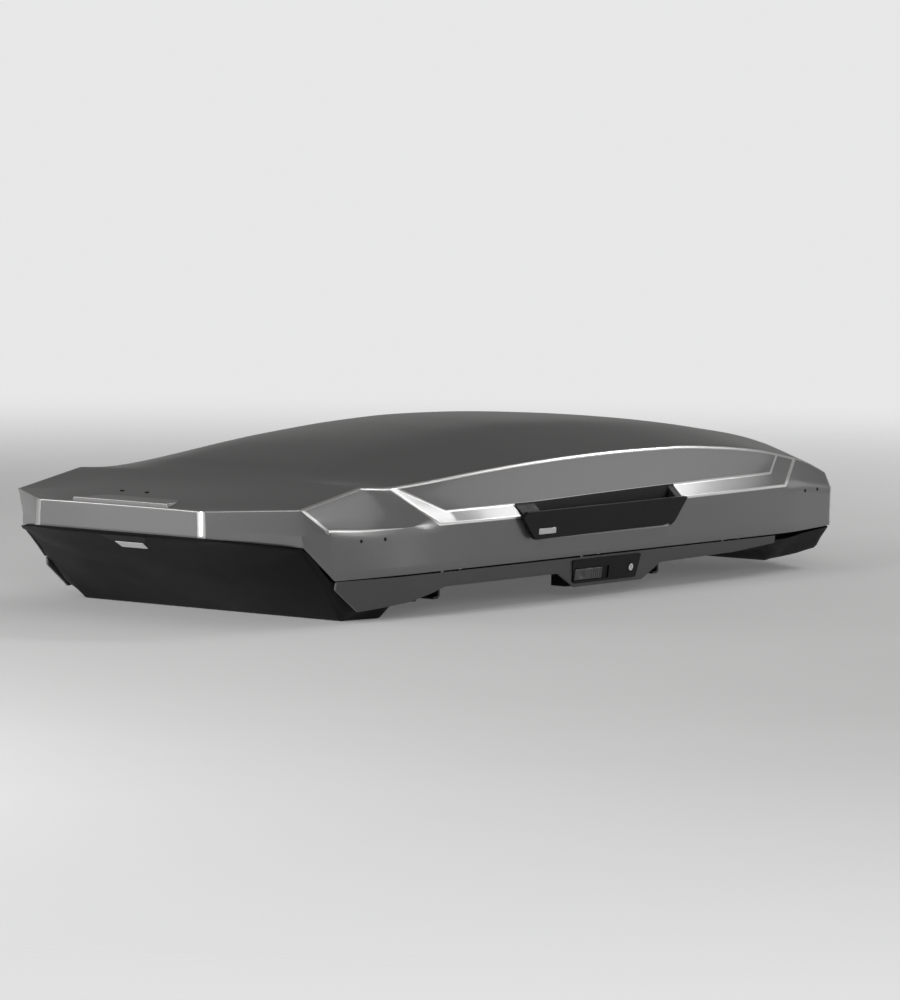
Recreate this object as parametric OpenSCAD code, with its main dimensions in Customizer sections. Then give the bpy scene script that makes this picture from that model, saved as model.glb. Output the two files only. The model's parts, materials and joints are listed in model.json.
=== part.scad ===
// Roof cargo box with a lid that opens from either side.
// X: across the car, right side positive. Y: forwards. Z: up, 0 at the keel pads it stands on.
// Stations are given as s, the distance forwards from the tail face, so y = s - body_l / 2.

/* [Body] */
// Overall length, tail face to nose
body_l = 2160; // [2160:1:2160]
// Wall thickness of the lid skin
lid_t = 3.5; // [3:0.5:4]
// Wall thickness of the base skin
base_t = 3; // [2.5:0.5:3.5]
// Underside of the raised middle floor, where the crossbars pass
floor_z = 57; // [57:1:57]
// Half width of the lid along its straight lower edge
side_x = 412; // [412:1:412]
// Height of the lid's lower edge along the sides
edge_z = 92; // [92:1:92]
// Height of the crown
crown_z = 365; // [360:1:370]

/* [Hinge line] */
// Distance of each hinge line from the centre plane
hinge_x = 398; // [398:1:398]
// Height of both hinge lines
hinge_z = 100; // [100:1:100]
// Radius of the fixed hinge rods and of the rail's pivot pins
rod_r = 4; // [4:0.5:4]
// Radial running clearance of the lid's ears on the pivot pins
run_gap = 0.05; // [0.02:0.01:0.1]
// Radial clearance of the hooks that lift off the rods
hook_gap = 0.4; // [0.3:0.05:0.5]

/* [Lock] */
// Travel of the slide latch and its lock bar
latch_travel = 25; // [20:1:25]
// Station of the slide latch's centre, unlocked
latch_s = 1050; // [1050:1:1050]
// Station of the key cylinder
key_s = 1206; // [1200:1:1210]
// Radius of the key cylinder
key_r = 8; // [7:0.5:9]

/* [Roof clamps] */
// Station of the rear crossbar
bar_rear_s = 602; // [602:1:602]
// Station of the front crossbar
bar_front_s = 1392; // [1392:1:1392]
// Distance of the clamps from the centre plane
clamp_x = 300; // [280:1:300]
// Widest crossbar that the jaws take
bar_w = 84; // [80:1:84]
// Tallest crossbar that the jaws take
bar_h = 32; // [28:1:34]
// How far the jaws drop when the knob is undone
jaw_drop = 12; // [8:1:14]

/* [Lid lifters] */
// Lifter pivot on the lid rib, distance from the centre plane
lift_top_x = 328; // [328:1:328]
// Lifter pivot on the lid rib, height
lift_top_z = 190; // [190:1:190]
// Lifter stud on the hinge rail, distance from the centre plane
lift_low_x = 338; // [338:1:338]
// Lifter stud on the hinge rail, height
lift_low_z = 72; // [72:1:72]

/* [Hidden] */
$fn = 48;
eps = 0.05;

lid_grey = [0.36, 0.36, 0.37];
sill_grey = [0.27, 0.27, 0.28];
base_black = [0.11, 0.11, 0.115];
steel = [0.62, 0.63, 0.65];

hook_s = [620, 1110, 1640];     // hooks on the hinge rods
pivot_s = [820, 1460];          // pins that carry the lid's ears
rib_s = [720, 1140, 1560];      // stiffening ribs under the lid
lifter_s = [720, 1560];         // ribs that carry the lifters
channel_z = 78;                 // floor of the hinge channel
rim_x = 380;                    // outer face of the base's rim wall
rim_z = 112;                    // top of the rim wall
seat_half_x = 230;               // half length of the flat over each crossbar
seat_t = 1;
sill_top_z = 89;
sill_slope = 0.125;             // lean of the sill face, sideways per mm of height
sill_t = 6;
latch_z = 52;                   // height of the slide latch
key_z = 56;                     // height of the key cylinder
plate_s = [990, 1240];          // rear and front ends of the lock plate
plate_z = [33, 84];
bolt_x = 388;                   // lock bolt, in the hook's tongue
bolt_z = 89;
bolt_r = 2.5;

function yy(s) = s - body_l / 2;

// ---- long lines of the lid, right half: [s, value] ----
edge_x = [[0, 216], [133, 371], [218, 385], [450, side_x], [1750, side_x], [2015, 390], [2060, 345],
          [2110, 270], [2150, 185], [2160, 150]];
edge_h = [[0, 179], [133, 161], [218, edge_z - 2], [450, edge_z], [1800, edge_z], [2015, 96], [2160, 102]];
wide_x = [[0, 216], [133, 371], [187, 390], [450, 416], [700, 421], [1500, 421], [1800, 412], [2015, 391],
          [2060, 345], [2110, 270], [2150, 185], [2160, 150]];
wide_h = [[0, 200], [133, 186], [187, 190], [310, 184], [450, 186], [540, 198], [600, 186], [900, 185],
          [1450, 196], [1780, 198], [1850, 206], [1922, 238], [2015, 177], [2110, 166], [2160, 152]];
step_x = [[0, 215.5], [133, 371.5], [187, 388], [310, 393], [404, 388], [450, 394], [560, 397], [1750, 397],
          [1850, 390], [1922, 380], [2015, 385], [2060, 340], [2110, 262], [2150, 176], [2160, 142]];
step_h = [[0, 222], [133, 226], [187, 228], [310, 246], [404, 258], [480, 240], [600, 211], [870, 212],
          [1100, 217], [1373, 222], [1780, 225], [1850, 230], [1922, 241], [2015, 196], [2110, 176],
          [2160, 158]];
brow_x = [[0, 214], [133, 372], [310, 373], [404, 374], [900, 374], [1750, 374], [1922, 377], [2015, 372],
          [2060, 322], [2110, 245], [2150, 162], [2160, 132]];
brow_h = [[0, 233], [133, 239], [310, 272], [404, 267], [540, 273], [710, 284], [880, 293], [1050, 299],
          [1230, 302], [1410, 301], [1600, 291], [1745, 277], [1850, 259], [1922, 244], [2015, 214],
          [2110, 186], [2160, 164]];
crown_h = [[0, 234], [60, 242], [250, 266], [350, 286], [430, 306], [600, 334], [760, 349], [930, 360],
           [1100, crown_z], [1270, 362], [1450, 353], [1630, 339], [1820, 316], [2015, 286], [2060, 268],
           [2110, 234], [2150, 190], [2160, 172]];
lid_s = [0, 60, 133, 187, 218, 310, 404, 450, 480, 540, 600, 710, 864, 870, 1050, 1100, 1230, 1350, 1356,
         1410, 1600, 1750, 1800, 1850, 1922, 2015, 2060, 2110, 2150, 2160];

// pocket behind the grip: the wall turns in below the ledge
pocket_s = [870, 1350];
pocket_lip = [418.5, 144];
pocket_heel = [402, 148];
function in_pocket(s) = s >= pocket_s[0] && s <= pocket_s[1];

// right half of the lid's section at s, from the lower edge up to the crown
function lid_half(s) =
    let (xb = lookup(s, brow_x), zb = lookup(s, brow_h), zc = lookup(s, crown_h))
    [[lookup(s, edge_x), lookup(s, edge_h)],
     in_pocket(s) ? pocket_lip : [lookup(s, wide_x), lookup(s, wide_h)],
     in_pocket(s) ? pocket_heel : [(lookup(s, wide_x) + lookup(s, step_x)) / 2,
                                   (lookup(s, wide_h) + lookup(s, step_h)) / 2],
     [lookup(s, step_x), lookup(s, step_h)], [xb, zb],
     [0.78 * xb, zb + 0.5 * (zc - zb)], [0.5 * xb, zb + 0.86 * (zc - zb)], [0, zc]];
// the same section moved inwards by t
function lid_half_in(s, t) = let (h = lid_half(s))
    [[h[0][0] - t, h[0][1]], [h[1][0] - t, h[1][1] - t], [h[2][0] - t, h[2][1] - t],
     [h[3][0] - t, h[3][1] - t], [h[4][0] - t, h[4][1] - t],
     for (k = [5:7]) [max(0, h[k][0] - t / 2), h[k][1] - t]];
// whole section as 3-D points: right half, then the left half back down
function ring(half, s) = let (n = len(half))
    [for (p = half) [p[0], yy(s), p[1]], for (k = [n - 2:-1:0]) [-half[k][0], yy(s), half[k][1]]];
// a level line of 2 * count - 1 points across the end of a shell
function end_line(count, half_w, s, z) =
    ring([for (k = [0:count - 1]) [half_w * (1 - k / (count - 1)), z]], s);

// ---- long lines of the base, right half ----
part_x = [[0, 215], [133, 368], [218, 376], [290, 384.5], [400, 398], [450, 403], [1800, 403], [2015, 385],
          [2060, 340], [2110, 265], [2150, 180], [2154, 150]];
part_h = [[0, 177.5], [133, 159.5], [218, 88], [290, channel_z], [1800, channel_z], [1900, 86], [2157, 98]];
rimw_x = [[0, 209], [133, 364], [218, 371], [290, rim_x], [1800, rim_x], [1960, 372], [2015, 362],
          [2060, 318], [2110, 245], [2150, 163], [2154, 140]];
rimw_h = [[0, 186], [133, 172], [218, 120], [290, rim_z], [2154, rim_z]];
low_x = [[0, 214], [133, 340], [218, 372], [296, 366], [437, 378], [562, 398], [1760, 398], [1850, 368],
         [2007, 362], [2060, 310], [2110, 235], [2150, 160], [2157, 140]];
low_h = [[0, 176], [133, 130], [218, 82], [296, 24], [437, 36], [562, floor_z + 3], [1740, floor_z + 3],
         [1830, 36], [1990, 44], [2040, 74], [2157, 94]];
keel_x = [[0, 212], [133, 290], [296, 338], [462, 366], [1760, 366], [1850, 340], [2007, 325], [2060, 270],
          [2110, 190], [2157, 110]];
keel_h = [[0, 176], [296, 0], [400, 0], [462, floor_z], [1740, floor_z], [1810, 26], [1960, 30], [2030, 70],
          [2157, 93]];
base_s = [7, 60, 133, 218, 260, 296, 340, 400, 437, 462, 562, 700, 1110, 1500, 1740, 1770, 1810, 1850, 1900,
          1960, 1990, 2030, 2060, 2110, 2150];

function base_half(s) =
    [[lookup(s, rimw_x), lookup(s, rimw_h)], [lookup(s, rimw_x), lookup(s, part_h)],
     [lookup(s, part_x), lookup(s, part_h)], [lookup(s, low_x), lookup(s, low_h)],
     [lookup(s, keel_x), lookup(s, keel_h)], [0, lookup(s, keel_h)]];
// inner skin: stays inboard of the rim wall and above the outer skin
function base_half_in(s) = let (h = base_half(s), xr = h[0][0] - base_t, zk = h[4][1] + base_t)
    [[xr, h[0][1]], [min(xr - 0.5, h[3][0] - 2), max(h[3][1], zk) + 12],
     [min(xr - 1, h[3][0] - 4), max(h[3][1], zk) + 8], [min(xr - 3, h[3][0] - 8), max(h[3][1], zk) + 3],
     [min(xr - 8, h[4][0] - 3), zk], [0, zk]];

// closed skin between an outer and an inner family of sections with equal point counts
module shell_between(outer, inner, flip = false) {
    n = len(outer);
    m = len(outer[0]);
    pts = concat([for (r = outer) each r], [for (r = inner) each r]);
    b = n * m;                  // first point of the inner family
    z = (n - 1) * m;            // first point of the last section
    function quad(p, q, r, s, turn) = turn ? [[p, q, r], [p, r, s]] : [[p, r, q], [p, s, r]];
    function patch(a, turn) = quad(a, a + m, a + m + 1, a + 1, turn);
    faces = [
        for (i = [0:n - 2], k = [0:m - 2]) each patch(i * m + k, flip),
        for (i = [0:n - 2], k = [0:m - 2]) each patch(b + i * m + k, !flip),
        for (i = [0:n - 2]) let (a = i * m) each quad(a, b + a, b + a + m, a + m, flip),
        for (i = [0:n - 2]) let (a = i * m + m - 1) each quad(a, a + m, b + a + m, b + a, flip),
        for (k = [0:m - 2]) each quad(k, k + 1, b + k + 1, b + k, flip),
        for (k = [z:z + m - 2]) each quad(k, b + k, b + k + 1, k + 1, flip)
    ];
    polyhedron(pts, faces, convexity = 8);
}

// closed bar through a list of sections, each a closed ring of 3-D points
module bar_through(rings) {
    n = len(rings);
    m = len(rings[0]);
    function nx(k) = (k + 1) % m;
    faces = [
        for (i = [0:n - 2], k = [0:m - 1])
            let (a = i * m + k, b = i * m + nx(k)) each [[a, b + m, b], [a, a + m, b + m]],
        [for (k = [0:m - 1]) k],
        [for (k = [m - 1:-1:0]) (n - 1) * m + k]
    ];
    polyhedron([for (r = rings) each r], faces, convexity = 4);
}

module left_copy() {
    mirror([1, 0, 0]) children();
}
// a profile in X and Z, t thick along Y, centred on y
module plate_xz(points, y, t) {
    translate([0, y + t / 2, 0]) rotate([90, 0, 0]) linear_extrude(height = t) polygon(points);
}
module rod_y(x, z, y0, y1, r) {
    translate([x, y0, z]) rotate([-90, 0, 0]) cylinder(h = y1 - y0, r = r);
}
module box_at(x, y, z) {
    translate([x[0], y[0], z[0]]) cube([x[1] - x[0], y[1] - y[0], z[1] - z[0]]);
}

// ---- base: tail hull, middle floor and nose hull, bonded end to end ----
base_cut = [462, 1740];         // stations of the two bonded seams
tail_half_w = 195;
nose_half_w = 120;
nose_end_s = 2154;
function skin_rings(stations) = [for (s = stations) ring(base_half(s), s)];
function lining_rings(stations) = [for (s = stations) lining_ring(s)];
// the lining stops short of the end walls
lining_ends = [14, 2142];
function lining_ring(s) =
    ring(base_half_in(min(max(s, 18), body_l - 20)), min(max(s, lining_ends[0]), lining_ends[1]));
function stations_between(a, b) = [for (s = base_s) if (s >= a && s <= b) s];
module base_tail() {
    stations = stations_between(0, base_cut[0]);
    color(base_black) shell_between(
        concat([end_line(6, tail_half_w, 4, 177.5)], skin_rings(stations)),
        concat([end_line(6, tail_half_w - 5, 12, 177.5)], lining_rings(stations)), true);
}
module base_floor() {
    stations = stations_between(base_cut[0], base_cut[1]);
    color(base_black) difference() {
        union() {
            shell_between(skin_rings(stations), lining_rings(stations), true);
            for (s = [bar_rear_s, bar_front_s]) crossbar_seat(yy(s));
        }
        for (side = [-1, 1]) {
            for (s = [bar_rear_s, bar_front_s]) jaw_slots(side * clamp_x, yy(s));
            lock_tab_slot(side);
            lock_pocket(side);
        }
    }
}
module base_nose() {
    stations = stations_between(base_cut[1], body_l);
    color(base_black) union() {
        shell_between(
            concat(skin_rings(stations), [end_line(6, nose_half_w, nose_end_s, rim_z)]),
            concat(lining_rings(stations), [end_line(6, nose_half_w - 4, nose_end_s - 10, rim_z)]), true);
        keel_pads();
    }
}
// moulded flat that rests on a crossbar, between the clamps
module crossbar_seat(y) {
    box_at([-seat_half_x, seat_half_x], [y - bar_w / 2, y + bar_w / 2], [floor_z - seat_t, floor_z + 1]);
}
// skid pads under the nose hull: with the tail hull they carry the box off the car
pad_s = 1880;
pad_x = 120;
pad_half = 40;
module keel_pads() {
    for (side = [-1, 1])
        box_at([side * pad_x - pad_half, side * pad_x + pad_half],
               [yy(pad_s) - pad_half, yy(pad_s) + pad_half], [0, lookup(pad_s, keel_h) + 1]);
}
module jaw_slots(x, y) {
    for (e = [-1, 1])
        translate([x, y + e * (bar_w / 2 + 7), floor_z]) cube([46, 10, 20], center = true);
}
module lock_tab_slot(side) {
    x0 = side > 0 ? 384.5 : -397.5;
    box_at([x0, x0 + 13], [yy(latch_s) - 12, yy(latch_s) + latch_travel + 12],
           [floor_z - 5, channel_z + 5]);
}
module lock_pocket(side) {
    x0 = side > 0 ? 383 : -403;
    box_at([x0, x0 + 20], [yy(plate_s[0]) - 2, yy(plate_s[1]) + 6], [floor_z - 5, 71]);
}

// lower edge of the sill: deep at the tail, shallow over the bars
sill_rear_h = [[222, 72], [291, 23], [364, 28], [437, 34], [510, 47], [552, floor_z + 1],
               [945.9, floor_z + 1]];
sill_front_h = [[1321.1, floor_z + 1], [1600, 62], [1760, 72]];
// the pod around the lock, as station and height
sill_pod = [[946, sill_top_z], [946, floor_z + 1], [1009, 25], [1258, 25], [1321, floor_z + 1],
            [1321, sill_top_z]];
function sill_ring(s, line) =
    let (x = lookup(s, edge_x), z0 = lookup(s, line), x0 = x - sill_slope * (sill_top_z - z0))
    [[x, yy(s), sill_top_z], [x0, yy(s), z0], [x0 - sill_t, yy(s), z0],
     [x - sill_t, yy(s), sill_top_z - 4]];
module sill_trim_right() {
    color(sill_grey) {
        bar_through([for (p = sill_rear_h) sill_ring(p[0], sill_rear_h)]);
        bar_through([for (p = sill_front_h) sill_ring(p[0], sill_front_h)]);
        difference() {
            latch_frame(sill_top_z) rotate([90, 0, 90]) translate([0, 0, -sill_t])
                linear_extrude(height = sill_t)
                    polygon([for (p = sill_pod) [yy(p[0]), (p[1] - sill_top_z) / cos(atan(sill_slope))]]);
            latch_frame(latch_z)
                box_at([-20, 20], [yy(latch_s) - 52, yy(latch_s) + 52 + latch_travel], [-14, 14]);
            latch_frame(key_z) translate([-20, yy(key_s), 0]) rotate([0, 90, 0])
                cylinder(h = 40, r = key_r + 1);
            // sloping top, clear of the lid's edge as it swings
            plate_xz([[side_x, sill_top_z], [side_x - 9, sill_top_z - 6], [side_x - 9, sill_top_z + 4],
                      [side_x, sill_top_z + 4]], yy((sill_pod[0][0] + sill_pod[5][0]) / 2), 380);
        }
    }
}
module sill_trim_left() {
    left_copy() sill_trim_right();
}
// local frame on the sill's face at height z: X out of the face
module latch_frame(z) {
    translate([side_x - sill_slope * (sill_top_z - z), 0, z]) rotate([0, atan(sill_slope), 0]) children();
}
plate_t = 3;
module lock_plate_right() {
    mid = (plate_z[0] + plate_z[1]) / 2;
    half = (plate_z[1] - plate_z[0]) / 2;
    color(base_black) difference() {
        latch_frame(mid) difference() {
            plate_blank(half);
            translate([0, 0, latch_z - mid])
                box_at([-1, 10], [yy(latch_s) - 51, yy(latch_s) + 51 + latch_travel], [-13.5, 13.5]);
        }
        latch_frame(key_z) translate([-1, yy(key_s), 0]) rotate([0, 90, 0])
            cylinder(h = 20, r = key_r + run_gap);
    }
}
module plate_blank(half) {
    rotate([90, 0, 90]) linear_extrude(height = plate_t)
        polygon([[yy(plate_s[0]), half], [yy(plate_s[0]) + 12, -half], [yy(plate_s[1]) - 12, -half],
                 [yy(plate_s[1]), half]]);
}
module lock_plate_left() {
    left_copy() lock_plate_right();
}
// casing behind the sill's pod, open towards the sill and the floor above
module lock_case_right() {
    color(base_black) difference() {
        box_at([358, 397], [yy(plate_s[0]), yy(plate_s[1]) + 5], [27, floor_z - 0.5]);
        box_at([360, 398], [yy(plate_s[0]) + 2, yy(plate_s[1]) + 3], [29, floor_z]);
    }
}
module lock_case_left() {
    left_copy() lock_case_right();
}

ear_y = [-20, -14];             // the bracket's ears, each side of a hook
module bracket_ear(y0) {
    difference() {
        plate_xz([[rim_x + eps, channel_z + eps], [384, channel_z + eps], [384, 83], [393, 83],
                  [hinge_x + 3, hinge_z - 7],
                  [hinge_x + 7.5, hinge_z - 2], [hinge_x + 7.5, hinge_z + 3], [hinge_x + 3, hinge_z + 7.5],
                  [rim_x + eps, hinge_z + 7.5]], y0 + 3, 6);
        rod_y(hinge_x, hinge_z, y0 - 1, y0 + 8, rod_r + 0.02);
        rod_y(bolt_x, bolt_z, y0 - 1, y0 + 8, bolt_r + run_gap);
    }
}
module hinge_bracket_right() {
    color(steel) for (s = hook_s) {
        bracket_ear(yy(s) + ear_y[0]);
        bracket_ear(yy(s) - ear_y[1]);
        // web along the rim wall that joins the two ears
        box_at([rim_x + eps, rim_x + 2.5], [yy(s) - 17, yy(s) + 17], [channel_z + eps, hinge_z + 7.5]);
    }
}
module hinge_bracket_left() {
    left_copy() hinge_bracket_right();
}
module hinge_rod_right() {
    color(steel) for (s = hook_s) rod_y(hinge_x, hinge_z, yy(s) - 24, yy(s) + 24, rod_r);
}
module hinge_rod_left() {
    left_copy() hinge_rod_right();
}

// two stiffening channels along the floor, open at the top
rail_low = floor_z + base_t + eps;
rail_top = floor_z + base_t + 9;
rail_ends = [yy(480), yy(1735)];
rail_mid_x = 190;
module floor_rails() {
    cut = [rail_ends[0] - 1, rail_ends[1] + 1];
    color(steel) for (side = [-1, 1]) translate([side * rail_mid_x, 0, 0]) difference() {
        box_at([-17, 17], rail_ends, [rail_low, rail_top]);
        box_at([-11, 11], cut, [rail_low + 2, rail_top - 2]);
        box_at([-5, 5], cut, [rail_top - 3, rail_top + 1]);
    }
}
module base_mat() {
    color([0.16, 0.16, 0.17]) translate([0, yy(1108), floor_z + base_t + eps]) linear_extrude(height = 3)
        offset(r = 20) square([290, 1190], center = true);
}
// rubber lip clipped to the inner face of the rim wall
module rim_seal() {
    color([0.05, 0.05, 0.05]) for (side = [-1, 1], run = [[500, 700], [740, 1540], [1580, 1740]])
        plate_seal(side, run);
}
module plate_seal(side, run) {
    x = side * (rim_x - base_t - 2.1);
    translate([x, yy(run[1]), rim_z - 6]) rotate([90, 0, 0]) linear_extrude(height = run[1] - run[0])
        offset(r = 1.2) square([1.4, 8], center = true);
}
// blank plate in the middle of the tail hull
module badge_plate() {
    slope = atan2(177.5, 295);
    color([0.2, 0.2, 0.2]) translate([0, yy(44), 151.6]) rotate([-slope, 0, 0]) translate([0, 0, -3.8])
        linear_extrude(height = 2) polygon([[-52, -18], [52, -18], [40, 18], [-40, 18]]);
}
module screw(r, h) {
    cylinder(h = h, r = r);
    translate([0, 0, h]) cylinder(h = 1, r1 = r, r2 = r - 1);
}
module base_screws() {
    color(steel) for (side = [-1, 1], s = hook_s, e = [-1, 1])
        translate([side * (rim_x - base_t - 0.8), yy(s) + e * 10, 92]) rotate([0, -side * 90, 0])
            screw(4, 2);
}

// ---- roof clamps ----
module at_clamp(side, s) {
    translate([side * clamp_x, yy(s), 0]) children();
}
house_z = floor_z + base_t + eps;
house_top = house_z + 30;
jaw_y = bar_w / 2 + 7;
module clamp_housing(side, s) {
    color(base_black) at_clamp(side, s) difference() {
        translate([0, 0, house_z]) linear_extrude(height = 30)
            offset(r = 8) square([50, 104], center = true);
        // hollow for the jaw's bridge
        translate([0, 0, house_z + 11]) cube([48, 112, 24], center = true);
        translate([0, 0, house_top - 12]) cylinder(h = 20, r = 6 + run_gap);
    }
}
module clamp_housing_rear_right() clamp_housing(1, bar_rear_s);
module clamp_housing_rear_left() clamp_housing(-1, bar_rear_s);
module clamp_housing_front_right() clamp_housing(1, bar_front_s);
module clamp_housing_front_left() clamp_housing(-1, bar_front_s);

// torque knob with finger flutes, on a stem through the housing's roof
module clamp_knob(side, s) {
    color([0.55, 0.1, 0.08]) at_clamp(side, s) {
        difference() {
            translate([0, 0, house_top + 1]) cylinder(h = 20, r = 30);
            for (a = [0:60:300]) rotate([0, 0, a])
                translate([34, 0, house_top]) cylinder(h = 22, r = 10);
        }
        translate([0, 0, house_top - 6]) cylinder(h = 8, r = 6);
    }
}
module clamp_knob_rear_right() clamp_knob(1, bar_rear_s);
module clamp_knob_rear_left() clamp_knob(-1, bar_rear_s);
module clamp_knob_front_right() clamp_knob(1, bar_front_s);
module clamp_knob_front_left() clamp_knob(-1, bar_front_s);

// bridge inside the housing and two legs that reach under the crossbar's edges
jaw_low = floor_z - bar_h - 5;
// profile of a leg of height h, with its toe towards the crossbar's middle
function jaw_leg(h) =
    [[-2.5, h], [2.5, h], [2.5, 6], [-4, 0], [-20, 0], [-20, 4], [-6, 5], [-2.5, 10]];
module clamp_jaw(side, s) {
    bridge = [house_z + 14, house_z + 20];
    color([0.08, 0.08, 0.08]) at_clamp(side, s) rotate([0, 0, 90]) {
        difference() {
            box_at([-jaw_y - 2.5, jaw_y + 2.5], [-18, 18], bridge);
            translate([0, 0, bridge[0] - 1]) cylinder(h = 10, r = 4);
        }
        for (e = [-1, 1])
            plate_xz([for (p = jaw_leg(bridge[1] - jaw_low)) [e * (jaw_y + p[0]), jaw_low + p[1]]], 0, 36);
    }
}
module clamp_jaw_rear_right() clamp_jaw(1, bar_rear_s);
module clamp_jaw_rear_left() clamp_jaw(-1, bar_rear_s);
module clamp_jaw_front_right() clamp_jaw(1, bar_front_s);
module clamp_jaw_front_left() clamp_jaw(-1, bar_front_s);

// ---- lock ----
// finger slide in the lock plate's window, with its stem to the lock bar's tab
module slide_latch_right() {
    color([0.3, 0.3, 0.31]) latch_frame(latch_z) difference() {
        union() {
            box_at([-2, plate_t + 2], [yy(latch_s) - 49, yy(latch_s) + 49], [-12, 12]);
            translate([-9, yy(latch_s), 0]) rotate([0, 90, 0]) cylinder(h = 8, r = 5);
        }
        // finger dish
        translate([plate_t + 22, yy(latch_s) - 24, 0]) sphere(r = 22);
        // grip grooves
        for (k = [0:4]) translate([plate_t + 1, yy(latch_s) + 8 + 8 * k, -13]) cube([2, 2, 26]);
    }
}
module slide_latch_left() {
    left_copy() slide_latch_right();
}
bar_h0 = channel_z + 1;
// flat bar in the hinge channel with a bolt for each hook and a tab down to the slide
module lock_bar_right() {
    color(steel) {
        box_at([384.5, 391.5], [yy(hook_s[0]) - 66, yy(hook_s[2]) - 48], [bar_h0, bar_h0 + 3]);
        for (s = hook_s) {
            box_at([384.5, 391.5], [yy(s) - 62, yy(s) - 52], [bar_h0 + 2, bolt_z + 3.5]);
            rod_y(bolt_x, bolt_z, yy(s) - 53, yy(s) - 10, bolt_r);
        }
        box_at([388, 391.5], [yy(latch_s) - 8, yy(latch_s) + 8], [latch_z - 10, bar_h0 + 1]);
        box_at([391, 397], [yy(latch_s) - 4, yy(latch_s) + 4], [latch_z - 4, latch_z + 4]);
    }
}
module lock_bar_left() {
    left_copy() lock_bar_right();
}
module key_cylinder_right() {
    color([0.85, 0.85, 0.86]) latch_frame(key_z) translate([0, yy(key_s), 0]) {
        difference() {
            translate([-16, 0, 0]) rotate([0, 90, 0]) cylinder(h = 16 + plate_t + 1, r = key_r);
            box_at([plate_t - 3, plate_t + 3], [-0.8, 0.8], [-4.5, 4.5]);
        }
        // cam lever
        box_at([-19, -15.5], [-12, 4], [-4, 4]);
    }
}
module key_cylinder_left() {
    left_copy() key_cylinder_right();
}

// ---- lid ----
module lid_shell() {
    t = lid_t;
    outer = concat([end_line(8, 190, 0, 178.4)], [for (s = lid_s) ring(lid_half(s), s)],
                   [end_line(8, 120, body_l, 101)]);
    inner = concat([end_line(8, 186, t, 178.4)],
                   [for (s = lid_s) let (u = min(max(s, t), body_l - t)) ring(lid_half_in(u, t), u)],
                   [end_line(8, 116, body_l - t, 101)]);
    color(lid_grey) shell_between(outer, inner);
}
// ribs across the lid; those that carry lifters have a gusset down to the pivot
module lid_rib(s, lifter) {
    out_half = lid_half_in(s, lid_t + 2.5);
    lowest = lifter ? 1 : 3;
    side_pts = [for (k = [lowest:7]) out_half[k]];
    in_pts = [for (k = [7:-1:4]) [out_half[k][0] * 0.95, out_half[k][1] - 22]];
    gusset = [lift_top_x - 9, lift_top_x + 9];
    leg = lifter ? [[340, 240], [gusset[0], 200], [gusset[0], 180], [gusset[1], 180], [380, 186]]
                 : [[368, 240], [376, 186]];
    foot_x = lifter ? 404 : 391;
    half = concat([[foot_x, 160]], side_pts, in_pts, leg, [[foot_x - 18, 160]]);
    for (side = [-1, 1]) plate_xz([for (p = half) [side * p[0], p[1]]], yy(s), 8);
}
module lid_ribs() {
    color(base_black) {
        for (s = rib_s) lid_rib(s, s != rib_s[1]);
        for (side = [-1, 1], s = lifter_s)
            rod_y(side * lift_top_x, lift_top_z, yy(s), yy(s) + 18, 4);
    }
}
module lid_rivets() {
    color([0.1, 0.1, 0.1]) {
        for (side = [-1, 1], s = [287, 357]) rivet_side(side, s, 167, 3.5);
        for (side = [-1, 1], s = [1887, 1946]) rivet_side(side, s, 181, 3.5);
        for (p = deck_rivets) translate([p[0], yy(p[1]), p[2]]) cylinder(h = 1.5, r = 5);
    }
}
deck_rivets = [[-93, 122, 249.9], [-27, 122, 250.5]];  // across, station, height
module rivet_side(side, s, z, r) {
    f = (z - lookup(s, edge_h)) / (lookup(s, wide_h) - lookup(s, edge_h));
    x = lookup(s, edge_x) + f * (lookup(s, wide_x) - lookup(s, edge_x));
    translate([side * (x + 0.9), yy(s), z]) rotate([0, side * 90, 0]) cylinder(h = 1.5, r = r);
}
// grip: a leaning outer plate that stands off the lid, with a foot along its lower edge and a block at
// each end
grip_lean = 0.0625;             // sideways per mm of height
grip_x = 427;                   // inner face of the plate at the height of its top edge
grip_t = 8;
grip_top_z = 198;
grip_outline = [[785, 187], [799, grip_top_z], [1374, grip_top_z + 2], [1384, grip_top_z], [1337, 144],
                [832, 138]];
module grip_frame() {
    translate([grip_x, 0, grip_top_z]) rotate([0, atan(grip_lean), 0]) children();
}
module grip_plate(t) {
    rotate([90, 0, 90]) linear_extrude(height = t)
        polygon([for (p = grip_outline) [yy(p[0]), p[1] - grip_top_z]]);
}
// block over the ledge at an end of the grip
module grip_end(s0, s1) {
    ledge = [lookup(s1, wide_x) + 0.6, lookup(s1, wide_h) + 1];
    head = [lookup(s1, step_x) + 1.2, lookup(s1, step_h) + 1];
    plate_xz([[grip_x + 1, grip_top_z], [grip_x - 1, 172], [ledge[0], 172], ledge, head, head + [0, 3],
              head + [3, 3]], yy((s0 + s1) / 2), s1 - s0);
}
module handle_right() {
    color(base_black) union() {
        grip_frame() grip_plate(grip_t);
        grip_end(822, 866);
        grip_end(1354, 1368);
        plate_xz([[grip_x - 3, 146], [grip_x - 3.6, 139.5], [419.2, 139.5], [419.2, 146]], yy(1086), 500);
    }
}
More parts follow.
